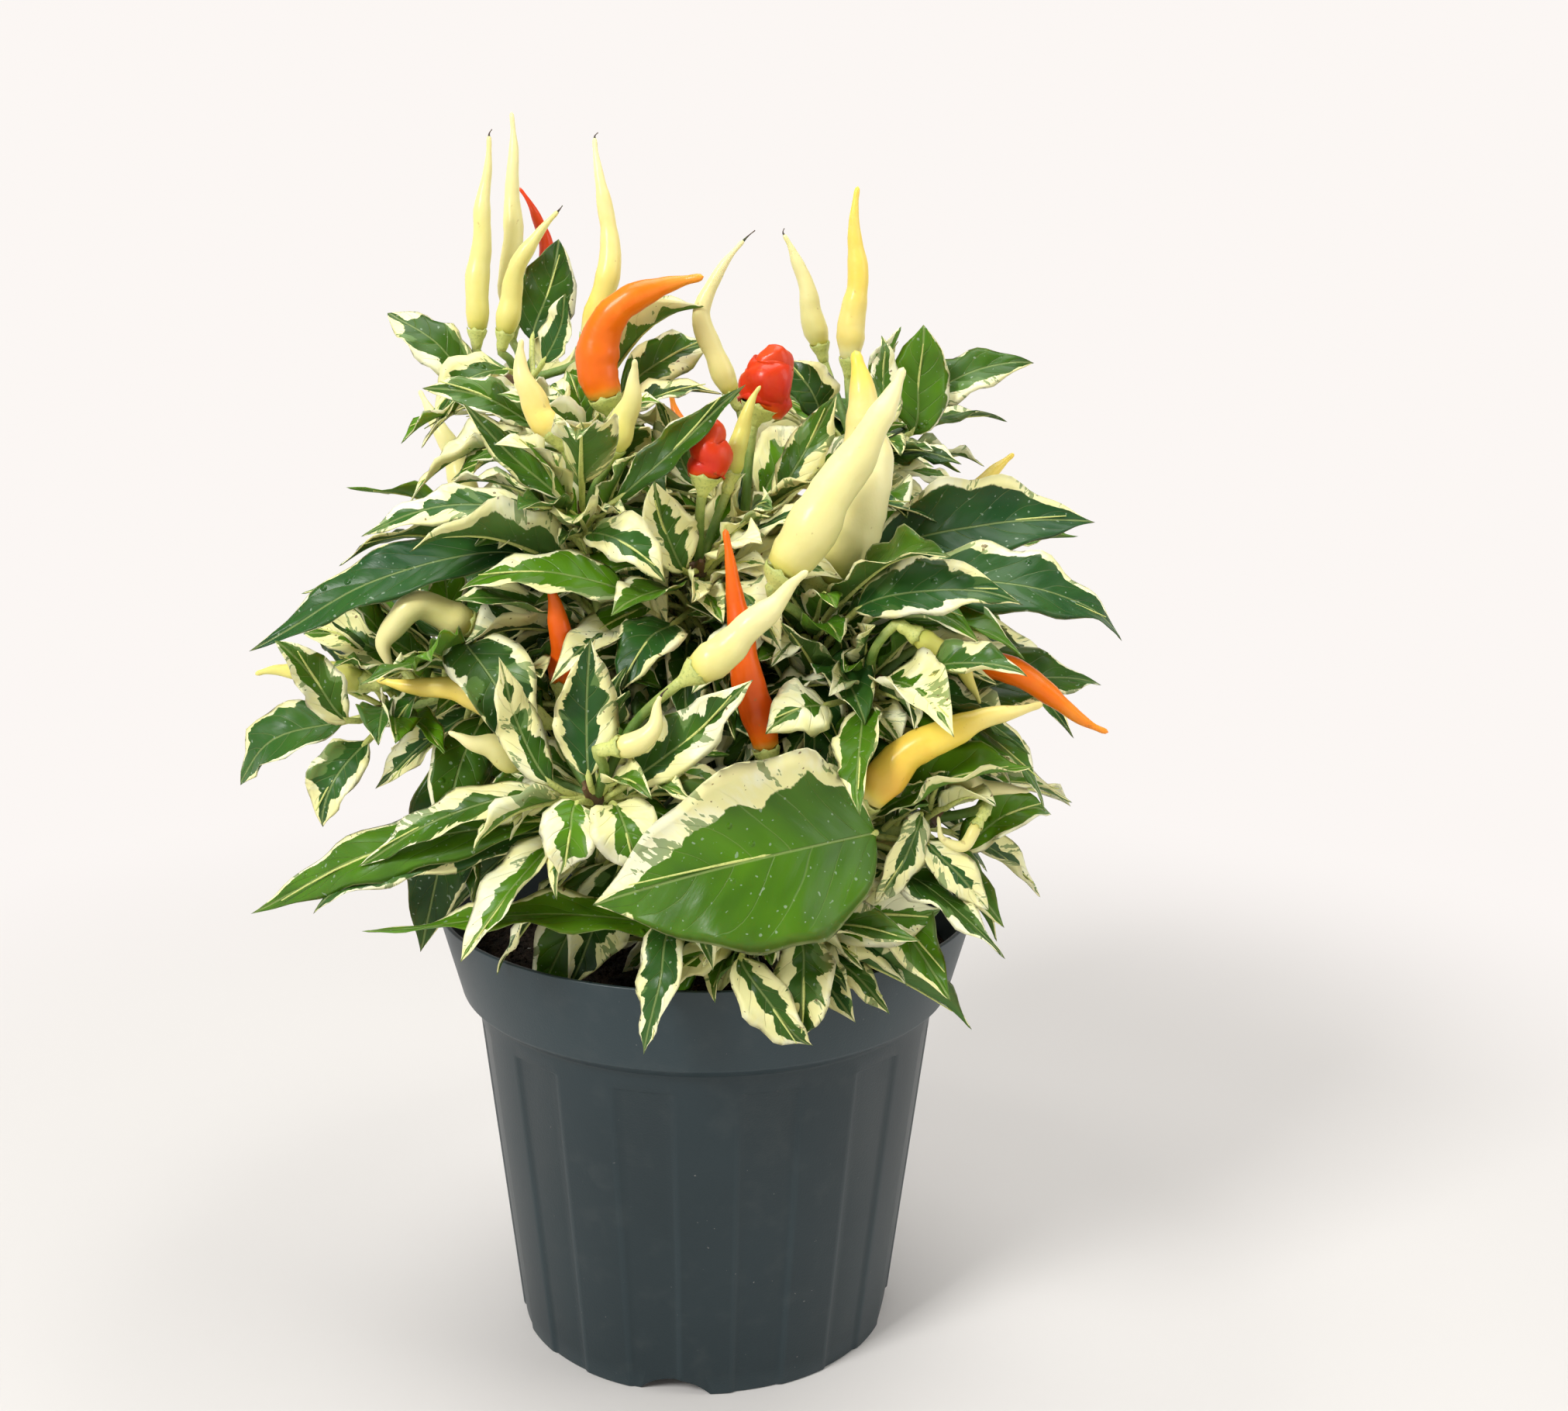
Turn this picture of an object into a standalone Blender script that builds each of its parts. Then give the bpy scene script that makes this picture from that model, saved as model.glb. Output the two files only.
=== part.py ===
"""A variegated ornamental chilli plant, with its upright pods, growing in a nursery pot.

Sizes are in millimetres until a mesh is made. +Z is up, the pot's axis is the Z axis, the table
is z = 0, and -Y is the front.
"""

import math
import random
from dataclasses import dataclass, field, replace

import bmesh
import bpy
from mathutils import Matrix, Vector
from mathutils.bvhtree import BVHTree

MM = 0.001
GAP = 0.3
SEED = 23

# Pot
POT_HEIGHT = 96.0
RIM_RADIUS = 58.0
BAND_HEIGHT = 18.5
BAND_FOOT_RADIUS = 53.0
STEP_HEIGHT = 2.4
BODY_TOP_RADIUS = 49.8
BASE_RADIUS = 41.2
WALL = 1.05
LIP_CHAMFER = 0.5
PANEL_COUNT = 24
PANEL_EDGE_DEGREES = 1.0
PANEL_DEPTH = 0.45
PANEL_TOP_DROP = 4.5
STEPS_PER_PANEL = 3
PLATE_THICKNESS = 1.2
PLATE_LIFT = 3.5
PAD_RADIUS = 22.0
PAD_SLOPE = 3.0
PAD_SHOULDER = 1.0
FOOT_LAND = 1.1
FOOT_DRAFT = 0.2
PANEL_FADE = 0.6
INNER_DROP = 0.4
NOTCH_COUNT = 4
NOTCH_FIRST_DEGREES = -99.0
NOTCH_WIDTH = 15.0
NOTCH_RISE = 3.5
NOTCH_SIDES = 28
NOTCH_DEPTH = 9.0
DRAIN_COUNT = 6
DRAIN_RADIUS = 4.0
DRAIN_CIRCLE = 32.0
DRAIN_SIDES = 8
DRAIN_DEPTH = 6.0

# Soil
SOIL_LEVEL = 83.0
SOIL_CLEARANCE = 0.4
SOIL_BUMP = 0.7
SOIL_STEPS = 26
MOUND_RISE = 0.8
MOUND_FOOT = 34.0
MOUND_SHOULDER = 16.0
EDGE_DROP = 0.6

# Stems
TRUNK_RADIUS = 4.2
TRUNK_FOOT = 60.4
HOLE_CLEARANCE = 0.4
LIMB_RADIUS = 2.4
LIMB_BULGE = 0.12
TWIG_RADIUS = 1.7
STUB_LENGTH = 7.0
STUB_FLARE = 1.15
STALK_RADIUS = 0.95
CALYX_LENGTH = 3.2
CALYX_NECK = 1.25
CALYX_FLARE = 1.02
STEM_POINTS = 4
LIMB_POINTS = 3

# Pods
POD_NECK = 0.62
POD_SHOULDER = 2.6
POD_TAPER = 1.6
POD_FULLNESS = 0.8
POD_TIP_RADIUS = 0.35
THICK_POD_RADIUS = 3.2

# Leaves
BLADE_THICKNESS = 0.9
PETIOLE_RADIUS = 0.75
OUTLINE_RISE = 0.75
OUTLINE_FALL = 1.35
LARGE_LEAF = 42.0
MEDIUM_LEAF = 26.0
LARGE_STATIONS = (0.14, 0.38, 0.62, 0.84)
MEDIUM_STATIONS = (0.18, 0.46, 0.78)
SMALL_STATIONS = (0.3, 0.7)
LEAF_LINE_POINTS = 49
ROOT_SPACING = 1.7
CLEARANCE = 0.35
REACH = 86.0
HAND_REACH = 100.0
HAND_TRIES = 40
FILLER_TRIES = 10
FILLER_DRAWS = 6
BEND_START = 2.0
BEND_STEP = 0.8
BEND_SHRINK = 0.004

# Leaves set by rule: shares of a leaf's length, unless they are angles or millimetres
GOLDEN_TURN = 0.618
TURN_JITTER = 0.12
TWIG_SHARE = (0.15, 1.0)
PETIOLE_SHARE = 0.22
PETIOLE_RISE = 0.35
TIP_DROOP = (0.02, 0.3)
ARCH_SHARE = (0.04, 0.13)
WIDTH_SHARE = (0.26, 0.4)
FOLD_RANGE = (0.1, 0.5)
WAVE_RANGE = (0.4, 1.4)

# Curves
PATH_STEPS = 16
TWIG_LINE_POINTS = 40
WELD_DISTANCE = 0.01
TURN_MERGE = 0.02
SHARP_DEGREES = 40.0

COLOURS = {
    "slate_plastic": ((0.058, 0.080, 0.088), 0.42),
    "potting_soil": ((0.030, 0.020, 0.013), 0.95),
    "stem_green": ((0.085, 0.120, 0.040), 0.50),
    "leaf_dark": ((0.030, 0.110, 0.028), 0.38),
    "leaf_mid": ((0.090, 0.210, 0.055), 0.40),
    "leaf_variegated": ((0.380, 0.450, 0.220), 0.45),
    "pod_cream": ((0.830, 0.720, 0.300), 0.30),
    "pod_yellow": ((0.860, 0.590, 0.090), 0.30),
    "pod_orange": ((0.880, 0.230, 0.020), 0.28),
    "pod_red": ((0.700, 0.050, 0.018), 0.28),
    "pod_lime": ((0.560, 0.600, 0.130), 0.32),
}


@dataclass(frozen=True)
class Leaf:
    """One leaf: its petiole runs from root to base, and its blade from base over mid to tip."""

    root: Vector
    base: Vector
    mid: Vector
    tip: Vector
    width: float
    face: Vector
    fold: float = 0.25
    wave: float = 0.8


@dataclass(frozen=True)
class Pod:
    """One chilli: the points of its middle line from base to tip, and where its stalk starts."""

    name: str
    colour: str
    line: tuple
    radius: float
    stalk: tuple
    fullness: float = 1.0


@dataclass
class Spray:
    """One leafy shoot: its twigs, the leaves set by hand, the leaves set by rule and its pods."""

    name: str
    colour: str
    twigs: tuple
    leaves: tuple = ()
    pods: tuple = ()
    fillers: int = 8
    filler_length: tuple = (28.0, 46.0)
    spread: tuple = (0.0, 360.0)
    lift: tuple = (-5.0, 45.0)
    placed: list = field(default_factory=list)


# The trunk's limbs, from the fork to the knuckles that carry the shoots.
FORK = (0, -1, 106)
KNUCKLES = {
    "front_low": (2, -12, 96),
    "front_left": (-10, -22, 117),
    "front_right": (12, -20, 113),
    "left": (-16, -8, 128),
    "upper": (-4, -5, 142),
    "right": (16, -8, 132),
    "back": (6, 18, 130),
    "back_left": (-14, 15, 128),
}
LIMB_STARTS = {"front_low": (1, -1, 89)}

UP = Vector((0, 0, 1))


def hand_leaf(root, base, tip, width, face=(0, -0.6, 1), arch=4.0, fold=0.25, wave=0.8):
    """A leaf placed by its ends; arch lifts its middle off the straight line towards its face."""
    ends = [Vector(point) for point in (root, base, tip)]
    facing = Vector(face).normalized()
    along = (ends[2] - ends[1]).normalized()
    lifted = (facing - along * facing.dot(along)).normalized()
    mid = (ends[1] + ends[2]) / 2 + lifted * arch
    return Leaf(ends[0], ends[1], mid, ends[2], width, facing, fold, wave)


LOW = (11, -47, 101)
ROSETTE = (-21, -52, 132)
RIGHT_NODE = (27, -47, 123)
RIGHT_TWIG = (43, -42, 125)
LEFT_NODE = (-42, -26, 148)
SCAR = (-25, -20, 180)
CENTRE = (-2, -21, 170)
CENTRE_BACK = (7, -6, 176)
UPPER_RIGHT = (21, -26, 158)
ORANGE_NODE = (31, -34, 149)
TOP_NODE = (-26, 0, 193)
TOP_TUFT = (-42, 37, 203)
BACK_RIGHT_TOP = (32, 24, 190)
BACK_NODE = (8, 46, 159)
BACK_LEFT_NODE = (-42, 38, 158)
BACK_RIGHT_NODE = (42, 31, 151)

SPRAYS = (
    Spray(
        "spray_front_low", "leaf_variegated",
        twigs=(("front_low", (8, -30, 98), LOW),),
        leaves=(
            hand_leaf(LOW, (-6, -54, 108), (-11, -66, 86), 9, (0, -1, 0.5), 6),
            hand_leaf(LOW, (6, -59, 103), (18, -65, 86), 9, (0, -1, 0.3), 4),
            hand_leaf(LOW, (17, -57, 106), (17, -66, 88), 11, (0.1, -1, 0.4), 5),
            hand_leaf(LOW, (0, -44, 103), (-64, -56, 107), 9, (0, -0.7, 1), 6),
            hand_leaf(LOW, (21, -50, 107), (45, -54, 109), 13, (0, -1, 0.9), 3),
            hand_leaf(LOW, (15, -50, 107), (35, -52, 119), 9, (-0.3, -1, 0.5), 3),
        ),
        fillers=6, filler_length=(22, 32), spread=(200, 340), lift=(0, 60),
    ),
    Spray(
        "spray_front_left", "leaf_variegated",
        twigs=(("front_left", (-16, -38, 124), ROSETTE),),
        leaves=(
            hand_leaf(ROSETTE, (-22, -57, 138), (-23, -56, 163), 12, (0.1, -1, 0.1), -3),
            hand_leaf(ROSETTE, (-15, -57, 136), (6, -68, 158), 10, (-0.4, -1, 0.5), -3),
            hand_leaf(ROSETTE, (-29, -56, 136), (-38, -60, 159), 9, (0.5, -1, 0.2), -4),
            hand_leaf(ROSETTE, (-24, -59, 133), (-26, -66, 121), 11, (0, -1, 0.5), 3),
            hand_leaf(ROSETTE, (-17, -60, 133), (-13, -68, 122), 12, (0.1, -1, 0.6), 4),
            hand_leaf((-19, -46, 129), (-31, -50, 127), (-89, -40, 104), 12, (-0.2, -0.8, 1), 7),
            hand_leaf(ROSETTE, (-31, -52, 133), (-66, -50, 119), 9, (0, -0.9, 1), 4),
            hand_leaf((-19, -46, 129), (-30, -46, 124), (-77, -46, 109), 10, (-0.2, -1, 0.9), 5),
        ),
        pods=(
            Pod("pod_yellow_level", "pod_yellow", ((-32, -44, 145), (-47, -43, 150), (-63, -40, 151)),
                3.4, (ROSETTE, (-27, -47, 140))),
            Pod("pod_yellow_short", "pod_cream", ((-35, -49, 138), (-41, -53, 142), (-47, -55, 145)),
                2.9, (ROSETTE, (-28, -49, 134))),
            Pod("pod_cream_hooked", "pod_cream", ((-17, -61, 144), (-11, -62, 146), (-9, -61, 154)),
                2.4, (ROSETTE, (-19, -58, 139))),
            Pod("pod_pale_slanted", "pod_cream", ((-3, -58, 157), (6, -58, 164), (17, -56, 176)),
                3.7, (ROSETTE, (-14, -53, 146))),
            Pod("pod_orange_small", "pod_orange", ((-28, -38, 150), (-28, -38, 160), (-30, -40, 171)),
                3.0, ((-19, -44, 128), (-26, -38, 138))),
        ),
        fillers=6, spread=(120, 300), lift=(-10, 45),
    ),
    Spray(
        "spray_front_right", "leaf_mid",
        twigs=(("front_right", (20, -34, 117), RIGHT_NODE), (RIGHT_NODE, (35, -43, 123), RIGHT_TWIG)),
        leaves=(
            hand_leaf(RIGHT_NODE, (30, -58, 127), (-22, -72, 120), 34, (-0.05, -1, 0.35), 7, 0.12, 1.2),
            hand_leaf(RIGHT_TWIG, (41, -50, 123), (55, -56, 112), 8, (0.2, -1, 0.5), 2),
            hand_leaf(RIGHT_TWIG, (48, -42, 119), (68, -38, 128), 9, (0, -0.9, 1), 4),
            hand_leaf(RIGHT_TWIG, (40, -49, 128), (31, -57, 113), 9, (0.4, -1, 0.2), 2),
        ),
        pods=(
            Pod("pod_yellow_right", "pod_yellow", ((29, -52, 131), (41, -53, 144), (63, -47, 149)),
                4.0, (RIGHT_NODE, (27, -51, 127))),
            Pod("pod_cream_right", "pod_cream", ((42, -44, 137), (51, -45, 133), (61, -47, 132)),
                2.6, ((35, -43, 123), (35, -43, 136))),
            Pod("pod_curled", "pod_cream", ((51, -50, 127), (48, -52, 123), (44, -52, 124), (43, -52, 128)),
                1.3, (RIGHT_TWIG, (50, -44, 127))),
            Pod("pod_red_long", "pod_red", ((11, -46, 139), (6, -44, 160), (3, -42, 181)),
                3.5, (RIGHT_NODE, (15, -46, 127))),
        ),
        fillers=7, spread=(-75, 50), lift=(-20, 40),
    ),
    Spray(
        "spray_left", "leaf_dark",
        twigs=(("left", (-28, -18, 138), LEFT_NODE), (LEFT_NODE, (-52, -26, 146), (-64, -26, 142))),
        leaves=(
            hand_leaf(LEFT_NODE, (-46, -38, 158), (-33, -54, 139), 15, (0.3, -1, 0.6), 5, 0.3),
            hand_leaf((-64, -26, 142), (-69, -37, 143), (-77, -45, 160), 9, (0.3, -1, 0.4), -2),
            hand_leaf((-64, -26, 142), (-66, -34, 138), (-76, -42, 124), 9, (0, -1, 0.6), 4),
            hand_leaf((-64, -26, 142), (-72, -26, 140), (-94, -24, 128), 14, (-0.2, -0.8, 1), 5),
        ),
        pods=(
            Pod("pod_cream_arched", "pod_cream", ((-46, -28, 160), (-56, -32, 164), (-62, -34, 158),
                (-60, -34, 151)), 3.6, (LEFT_NODE, (-40, -26, 157))),
            Pod("pod_lime_left", "pod_lime", ((-66, -31, 149), (-76, -30, 151), (-88, -28, 151)),
                2.8, ((-58, -26, 144), (-61, -30, 148))),
        ),
        fillers=8, spread=(110, 260), lift=(-15, 40),
    ),
    Spray(
        "spray_upper_left", "leaf_mid",
        twigs=(("left", (-20, -14, 152), SCAR),),
        leaves=(
            hand_leaf(SCAR, (-18, -24, 184), (8, -30, 206), 7, (-0.3, -1, 0.6), -2),
            hand_leaf(SCAR, (-29, -22, 184), (-48, -24, 202), 6, (0.4, -1, 0.3), -2),
            hand_leaf((-21, -16, 160), (-36, -24, 173), (-88, -30, 156), 13, (0, -0.8, 1), 7),
            hand_leaf((-23, -18, 168), (-16, -36, 168), (-48, -38, 171), 13, (0, -0.9, 1), 4),
            hand_leaf(SCAR, (-34, -22, 181), (-68, -22, 178), 9, (0, -0.9, 0.9), 5),
            hand_leaf(SCAR, (-23, -30, 178), (-8, -40, 172), 10, (0, -0.9, 1), 3),
        ),
        pods=(
            Pod("pod_yellow_upper", "pod_yellow", ((-30, -21, 196), (-35, -21, 204), (-37, -21, 214)),
                3.1, (SCAR, (-27, -20, 189))),
            Pod("pod_lime_upper", "pod_lime", ((-19, -22, 193), (-16, -23, 201), (-14, -24, 211)),
                3.0, (SCAR, (-22, -21, 187))),
        ),
        fillers=6, spread=(130, 290), lift=(-10, 40),
    ),
    Spray(
        "spray_centre", "leaf_variegated",
        twigs=(("upper", (-4, -13, 156), CENTRE),),
        leaves=(
            hand_leaf(CENTRE, (-5, -28, 171), (-11, -32, 187), 11, (0.3, -1, 0.3), -2),
            hand_leaf((-3, -17, 163), (-7, -32, 161), (-17, -48, 152), 12, (0, -0.9, 1), 4),
            hand_leaf(CENTRE, (4, -29, 168), (14, -40, 158), 9, (0.2, -1, 0.8), 3),
        ),
        pods=(
            Pod("pod_red_small", "pod_red", ((-1, -25, 188), (0, -25, 194), (0, -25, 200)),
                3.9, (CENTRE, (-2, -24, 180)), 1.25),
            Pod("pod_lime_slim", "pod_lime", ((4, -19, 188), (6, -18, 196), (9, -17, 206)),
                2.2, (CENTRE, (1, -20, 179))),
        ),
        fillers=7, spread=(180, 380), lift=(-10, 50),
    ),
    Spray(
        "spray_centre_back", "leaf_variegated",
        twigs=(("upper", (2, -4, 159), CENTRE_BACK),),
        leaves=(
            hand_leaf(CENTRE_BACK, (14, -10, 184), (24, -12, 204), 9, (-0.3, -1, 0.3), -2),
            hand_leaf(CENTRE_BACK, (-3, 2, 184), (-10, 6, 202), 9, (0.4, -1, 0.2), -2),
        ),
        pods=(
            Pod("pod_red_wrinkled", "pod_red", ((10, -5, 200), (12, -5, 206), (13, -5, 213)),
                5.3, (CENTRE_BACK, (8, -5, 190)), 1.3),
            Pod("pod_pale_curved", "pod_cream", ((5, 10, 202), (-1, 10, 215), (0, 10, 224), (6, 10, 234)),
                2.6, (CENTRE_BACK, (8, 5, 189))),
        ),
        fillers=7, spread=(-60, 210), lift=(0, 55),
    ),
    Spray(
        "spray_upper_right", "leaf_dark",
        twigs=(("right", (19, -17, 146), UPPER_RIGHT),),
        leaves=(
            hand_leaf(UPPER_RIGHT, (38, -26, 168), (84, -28, 160), 17, (0.1, -0.9, 1), 6),
            hand_leaf((20, -20, 150), (28, -37, 165), (58, -47, 171), 12, (0.1, -0.9, 1), 3),
            hand_leaf(UPPER_RIGHT, (34, -14, 172), (78, -14, 181), 17, (0, -1, 0.7), 5),
            hand_leaf(UPPER_RIGHT, (10, -32, 160), (-2, -46, 150), 9, (-0.2, -1, 0.8), 3),
        ),
        pods=(
            Pod("pod_cream_big", "pod_cream", ((13, -42, 172), (23, -41, 188), (37, -33, 210)),
                5.2, (UPPER_RIGHT, (17, -36, 164)), 1.1),
            Pod("pod_yellow_broad", "pod_cream", ((21, -28, 168), (30, -24, 187), (29, -20, 213)),
                6.6, (UPPER_RIGHT, (20, -27, 162)), 1.1),
        ),
        fillers=6, spread=(-60, 60), lift=(-10, 45),
    ),
    Spray(
        "spray_right", "leaf_mid",
        twigs=(("right", (25, -22, 140), ORANGE_NODE),),
        leaves=(
            hand_leaf(ORANGE_NODE, (40, -28, 143), (80, -16, 147), 16, (0, -0.9, 1), 5),
            hand_leaf((28, -27, 144), (40, -46, 155), (58, -56, 158), 9, (0, -0.9, 1), 2),
            hand_leaf(ORANGE_NODE, (22, -44, 148), (10, -54, 147), 12, (0, -1, 0.8), 2),
        ),
        pods=(
            Pod("pod_orange_right", "pod_orange", ((46, -31, 156), (60, -34, 152), (77, -37, 140)),
                3.3, (ORANGE_NODE, (38, -31, 155))),
            Pod("pod_pale_arched", "pod_lime", ((38, -44, 162), (46, -44, 157), (52, -42, 148)),
                2.3, (ORANGE_NODE, (31, -42, 158))),
        ),
        fillers=8, spread=(-70, 60), lift=(-20, 30),
    ),
    Spray(
        "spray_top_left", "leaf_variegated",
        twigs=(("upper", (-14, 0, 165), TOP_NODE), ((-20, 0, 179), (-32, 20, 192), TOP_TUFT)),
        leaves=(
            hand_leaf(TOP_TUFT, (-44, 26, 206), (-60, 16, 196), 10, (-0.2, -0.9, 1), 4),
            hand_leaf(TOP_TUFT, (-36, 28, 208), (-30, 20, 222), 9, (-0.3, -1, 0.3), -2),
            hand_leaf(TOP_NODE, (-36, 2, 196), (-58, -2, 206), 9, (0, -1, 0.8), 3),
            hand_leaf(TOP_NODE, (-18, 10, 202), (2, 16, 214), 10, (-0.2, -1, 0.7), 3),
            hand_leaf(TOP_TUFT, (-52, 33, 203), (-71, 36, 217), 15, (0.3, -0.9, 0.8), 3),
            hand_leaf(TOP_TUFT, (-40, 44, 212), (-33, 50, 234), 14, (0, -1, 0.2), -2),
        ),
        pods=(
            Pod("pod_orange_big", "pod_orange", ((-21, 0, 201), (-23, 0, 210), (-17, 0, 221), (-2, -2, 227)),
                4.7, (TOP_NODE, (-24, 0, 196))),
            Pod("pod_yellow_tuft_a", "pod_yellow", ((-52, 41, 213), (-51, 43, 234), (-48, 44, 256)),
                2.9, (TOP_TUFT, (-49, 40, 207))),
            Pod("pod_yellow_tuft_b", "pod_cream", ((-45, 50, 215), (-45, 53, 238), (-44, 56, 262)),
                2.9, (TOP_TUFT, (-43, 46, 208))),
            Pod("pod_yellow_tuft_c", "pod_cream", ((-45, 32, 213), (-41, 31, 229), (-33, 30, 240)),
                2.7, (TOP_TUFT, (-44, 33, 208))),
            Pod("pod_yellow_tuft_d", "pod_yellow", ((-27, 37, 212), (-22, 38, 231), (-26, 42, 256)),
                3.0, (TOP_TUFT, (-32, 37, 206))),
            Pod("pod_red_tuft", "pod_red", ((-38, 57, 220), (-38, 60, 233), (-43, 62, 246)),
                2.3, (TOP_TUFT, (-39, 50, 210))),
        ),
        fillers=6, spread=(40, 250), lift=(-10, 45),
    ),
    Spray(
        "spray_back_right_top", "leaf_variegated",
        twigs=(("back", (20, 20, 160), BACK_RIGHT_TOP),),
        leaves=(
            hand_leaf(BACK_RIGHT_TOP, (44, 20, 194), (46, 18, 216), 14, (-0.1, -1, 0.1), -2),
            hand_leaf(BACK_RIGHT_TOP, (37, 12, 196), (37, 10, 214), 9, (0.2, -1, 0.2), -2),
            hand_leaf(BACK_RIGHT_TOP, (24, 16, 198), (16, 14, 210), 10, (0, -1, 0.8), 2),
            hand_leaf(BACK_RIGHT_TOP, (44, 28, 198), (72, 30, 210), 12, (0, -0.9, 1), 4),
        ),
        pods=(
            Pod("pod_yellow_top", "pod_yellow", ((31, 31, 208), (32, 32, 226), (31, 32, 246)),
                3.2, (BACK_RIGHT_TOP, (31, 29, 200))),
            Pod("pod_pale_top", "pod_cream", ((25, 38, 211), (22, 38, 222), (17, 38, 236)),
                2.8, (BACK_RIGHT_TOP, (28, 34, 202))),
        ),
        fillers=8, spread=(-50, 150), lift=(-10, 45),
    ),
    Spray(
        "spray_back", "leaf_mid",
        twigs=(("back", (6, 36, 144), BACK_NODE),),
        pods=(
            Pod("pod_yellow_back", "pod_yellow", ((12, 55, 176), (15, 60, 190), (16, 68, 206)),
                3.3, (BACK_NODE, (10, 52, 169))),
            Pod("pod_orange_back", "pod_orange", ((-1, 58, 174), (-4, 65, 186), (-10, 70, 198)),
                3.4, (BACK_NODE, (4, 54, 168))),
        ),
        fillers=11, spread=(20, 170), lift=(-25, 45),
    ),
    Spray(
        "spray_back_left", "leaf_dark",
        twigs=(("back_left", (-32, 28, 144), BACK_LEFT_NODE),),
        pods=(
            Pod("pod_cream_back", "pod_cream", ((-54, 45, 174), (-60, 47, 188), (-67, 52, 200)),
                3.2, (BACK_LEFT_NODE, (-49, 44, 168))),
            Pod("pod_red_back", "pod_red", ((-42, 54, 172), (-42, 60, 184), (-46, 68, 196)),
                3.0, (BACK_LEFT_NODE, (-43, 48, 168))),
        ),
        fillers=11, spread=(80, 230), lift=(-25, 45),
    ),
    Spray(
        "spray_back_right", "leaf_dark",
        twigs=(("back", (28, 26, 142), BACK_RIGHT_NODE),),
        pods=(
            Pod("pod_yellow_side", "pod_yellow", ((53, 37, 166), (60, 38, 178), (70, 42, 188)),
                3.3, (BACK_RIGHT_NODE, (49, 36, 160))),
            Pod("pod_red_side", "pod_red", ((43, 45, 166), (43, 52, 178), (46, 58, 190)),
                3.0, (BACK_RIGHT_NODE, (44, 40, 160))),
        ),
        fillers=11, spread=(-40, 110), lift=(-25, 40),
    ),
)


def clear_scene():
    """Removes the startup scene's objects."""
    for obj in list(bpy.data.objects):
        bpy.data.objects.remove(obj, do_unlink=True)


def new_collection(name, parent=None):
    """A new collection inside the scene or another collection."""
    made = bpy.data.collections.new(name)
    (parent or bpy.context.scene.collection).children.link(made)
    return made


def principled(name):
    """The Principled material of one colour."""
    colour, roughness = COLOURS[name]
    material = bpy.data.materials.get(name)
    if material is None:
        material = bpy.data.materials.new(name)
        material.use_nodes = True
        shader = material.node_tree.nodes["Principled BSDF"]
        shader.inputs["Base Color"].default_value = (*colour, 1.0)
        shader.inputs["Roughness"].default_value = roughness
        shader.inputs["Metallic"].default_value = 0.0
    return material


def smooth_path(points, count):
    """Points at even spacing on a Catmull-Rom line through the given points."""
    knots = [Vector(point) for point in points]
    ends = [knots[0] * 2 - knots[1], *knots, knots[-1] * 2 - knots[-2]]
    fine = []
    for before, start, end, after in zip(ends, ends[1:], ends[2:], ends[3:]):
        for step in range(PATH_STEPS):
            t = step / PATH_STEPS
            fine.append(
                0.5
                * (
                    2 * start
                    + (end - before) * t
                    + (2 * before - 5 * start + 4 * end - after) * t * t
                    + (3 * start - before - 3 * end + after) * t**3
                )
            )
    fine.append(knots[-1])
    lengths = [0.0]
    for start, end in zip(fine, fine[1:]):
        lengths.append(lengths[-1] + (end - start).length)
    placed = []
    index = 0
    for step in range(count):
        wanted = lengths[-1] * step / (count - 1)
        while index < len(fine) - 2 and lengths[index + 1] < wanted:
            index += 1
        span = lengths[index + 1] - lengths[index]
        share = (wanted - lengths[index]) / span if span else 0.0
        placed.append(fine[index].lerp(fine[index + 1], share))
    return placed


def tube(name, points, radii, collection, resolution=1):
    """A curve object with a bevel, whose radius follows the given radii, and filled caps."""
    curve = bpy.data.curves.new(name, "CURVE")
    curve.dimensions = "3D"
    curve.bevel_depth = MM
    curve.bevel_resolution = resolution
    curve.use_fill_caps = True
    spline = curve.splines.new("POLY")
    spline.points.add(len(points) - 1)
    for knot, point, radius in zip(spline.points, points, radii):
        knot.co = (*(Vector(point) * MM), 1.0)
        knot.radius = radius
    obj = bpy.data.objects.new(name, curve)
    collection.objects.link(obj)
    return obj


def as_mesh(curve_object):
    """The curve object remade as a mesh object, with its caps welded to its sides."""
    graph = bpy.context.evaluated_depsgraph_get()
    mesh = bpy.data.meshes.new_from_object(curve_object.evaluated_get(graph))
    weld = bmesh.new()
    weld.from_mesh(mesh)
    bmesh.ops.remove_doubles(weld, verts=weld.verts, dist=MM * WELD_DISTANCE)
    bmesh.ops.recalc_face_normals(weld, faces=weld.faces)
    weld.to_mesh(mesh)
    weld.free()
    name = curve_object.name
    home = curve_object.users_collection[0]
    bpy.data.objects.remove(curve_object, do_unlink=True)
    made = bpy.data.objects.new(name, mesh)
    home.objects.link(made)
    return made


def blade_half_width(share):
    """The half width of a leaf of unit width at a share of its blade, from base to tip."""
    peak = OUTLINE_RISE / (OUTLINE_RISE + OUTLINE_FALL)
    full = peak**OUTLINE_RISE * (1 - peak) ** OUTLINE_FALL
    return 0.5 * share**OUTLINE_RISE * (1 - share) ** OUTLINE_FALL / full


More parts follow.
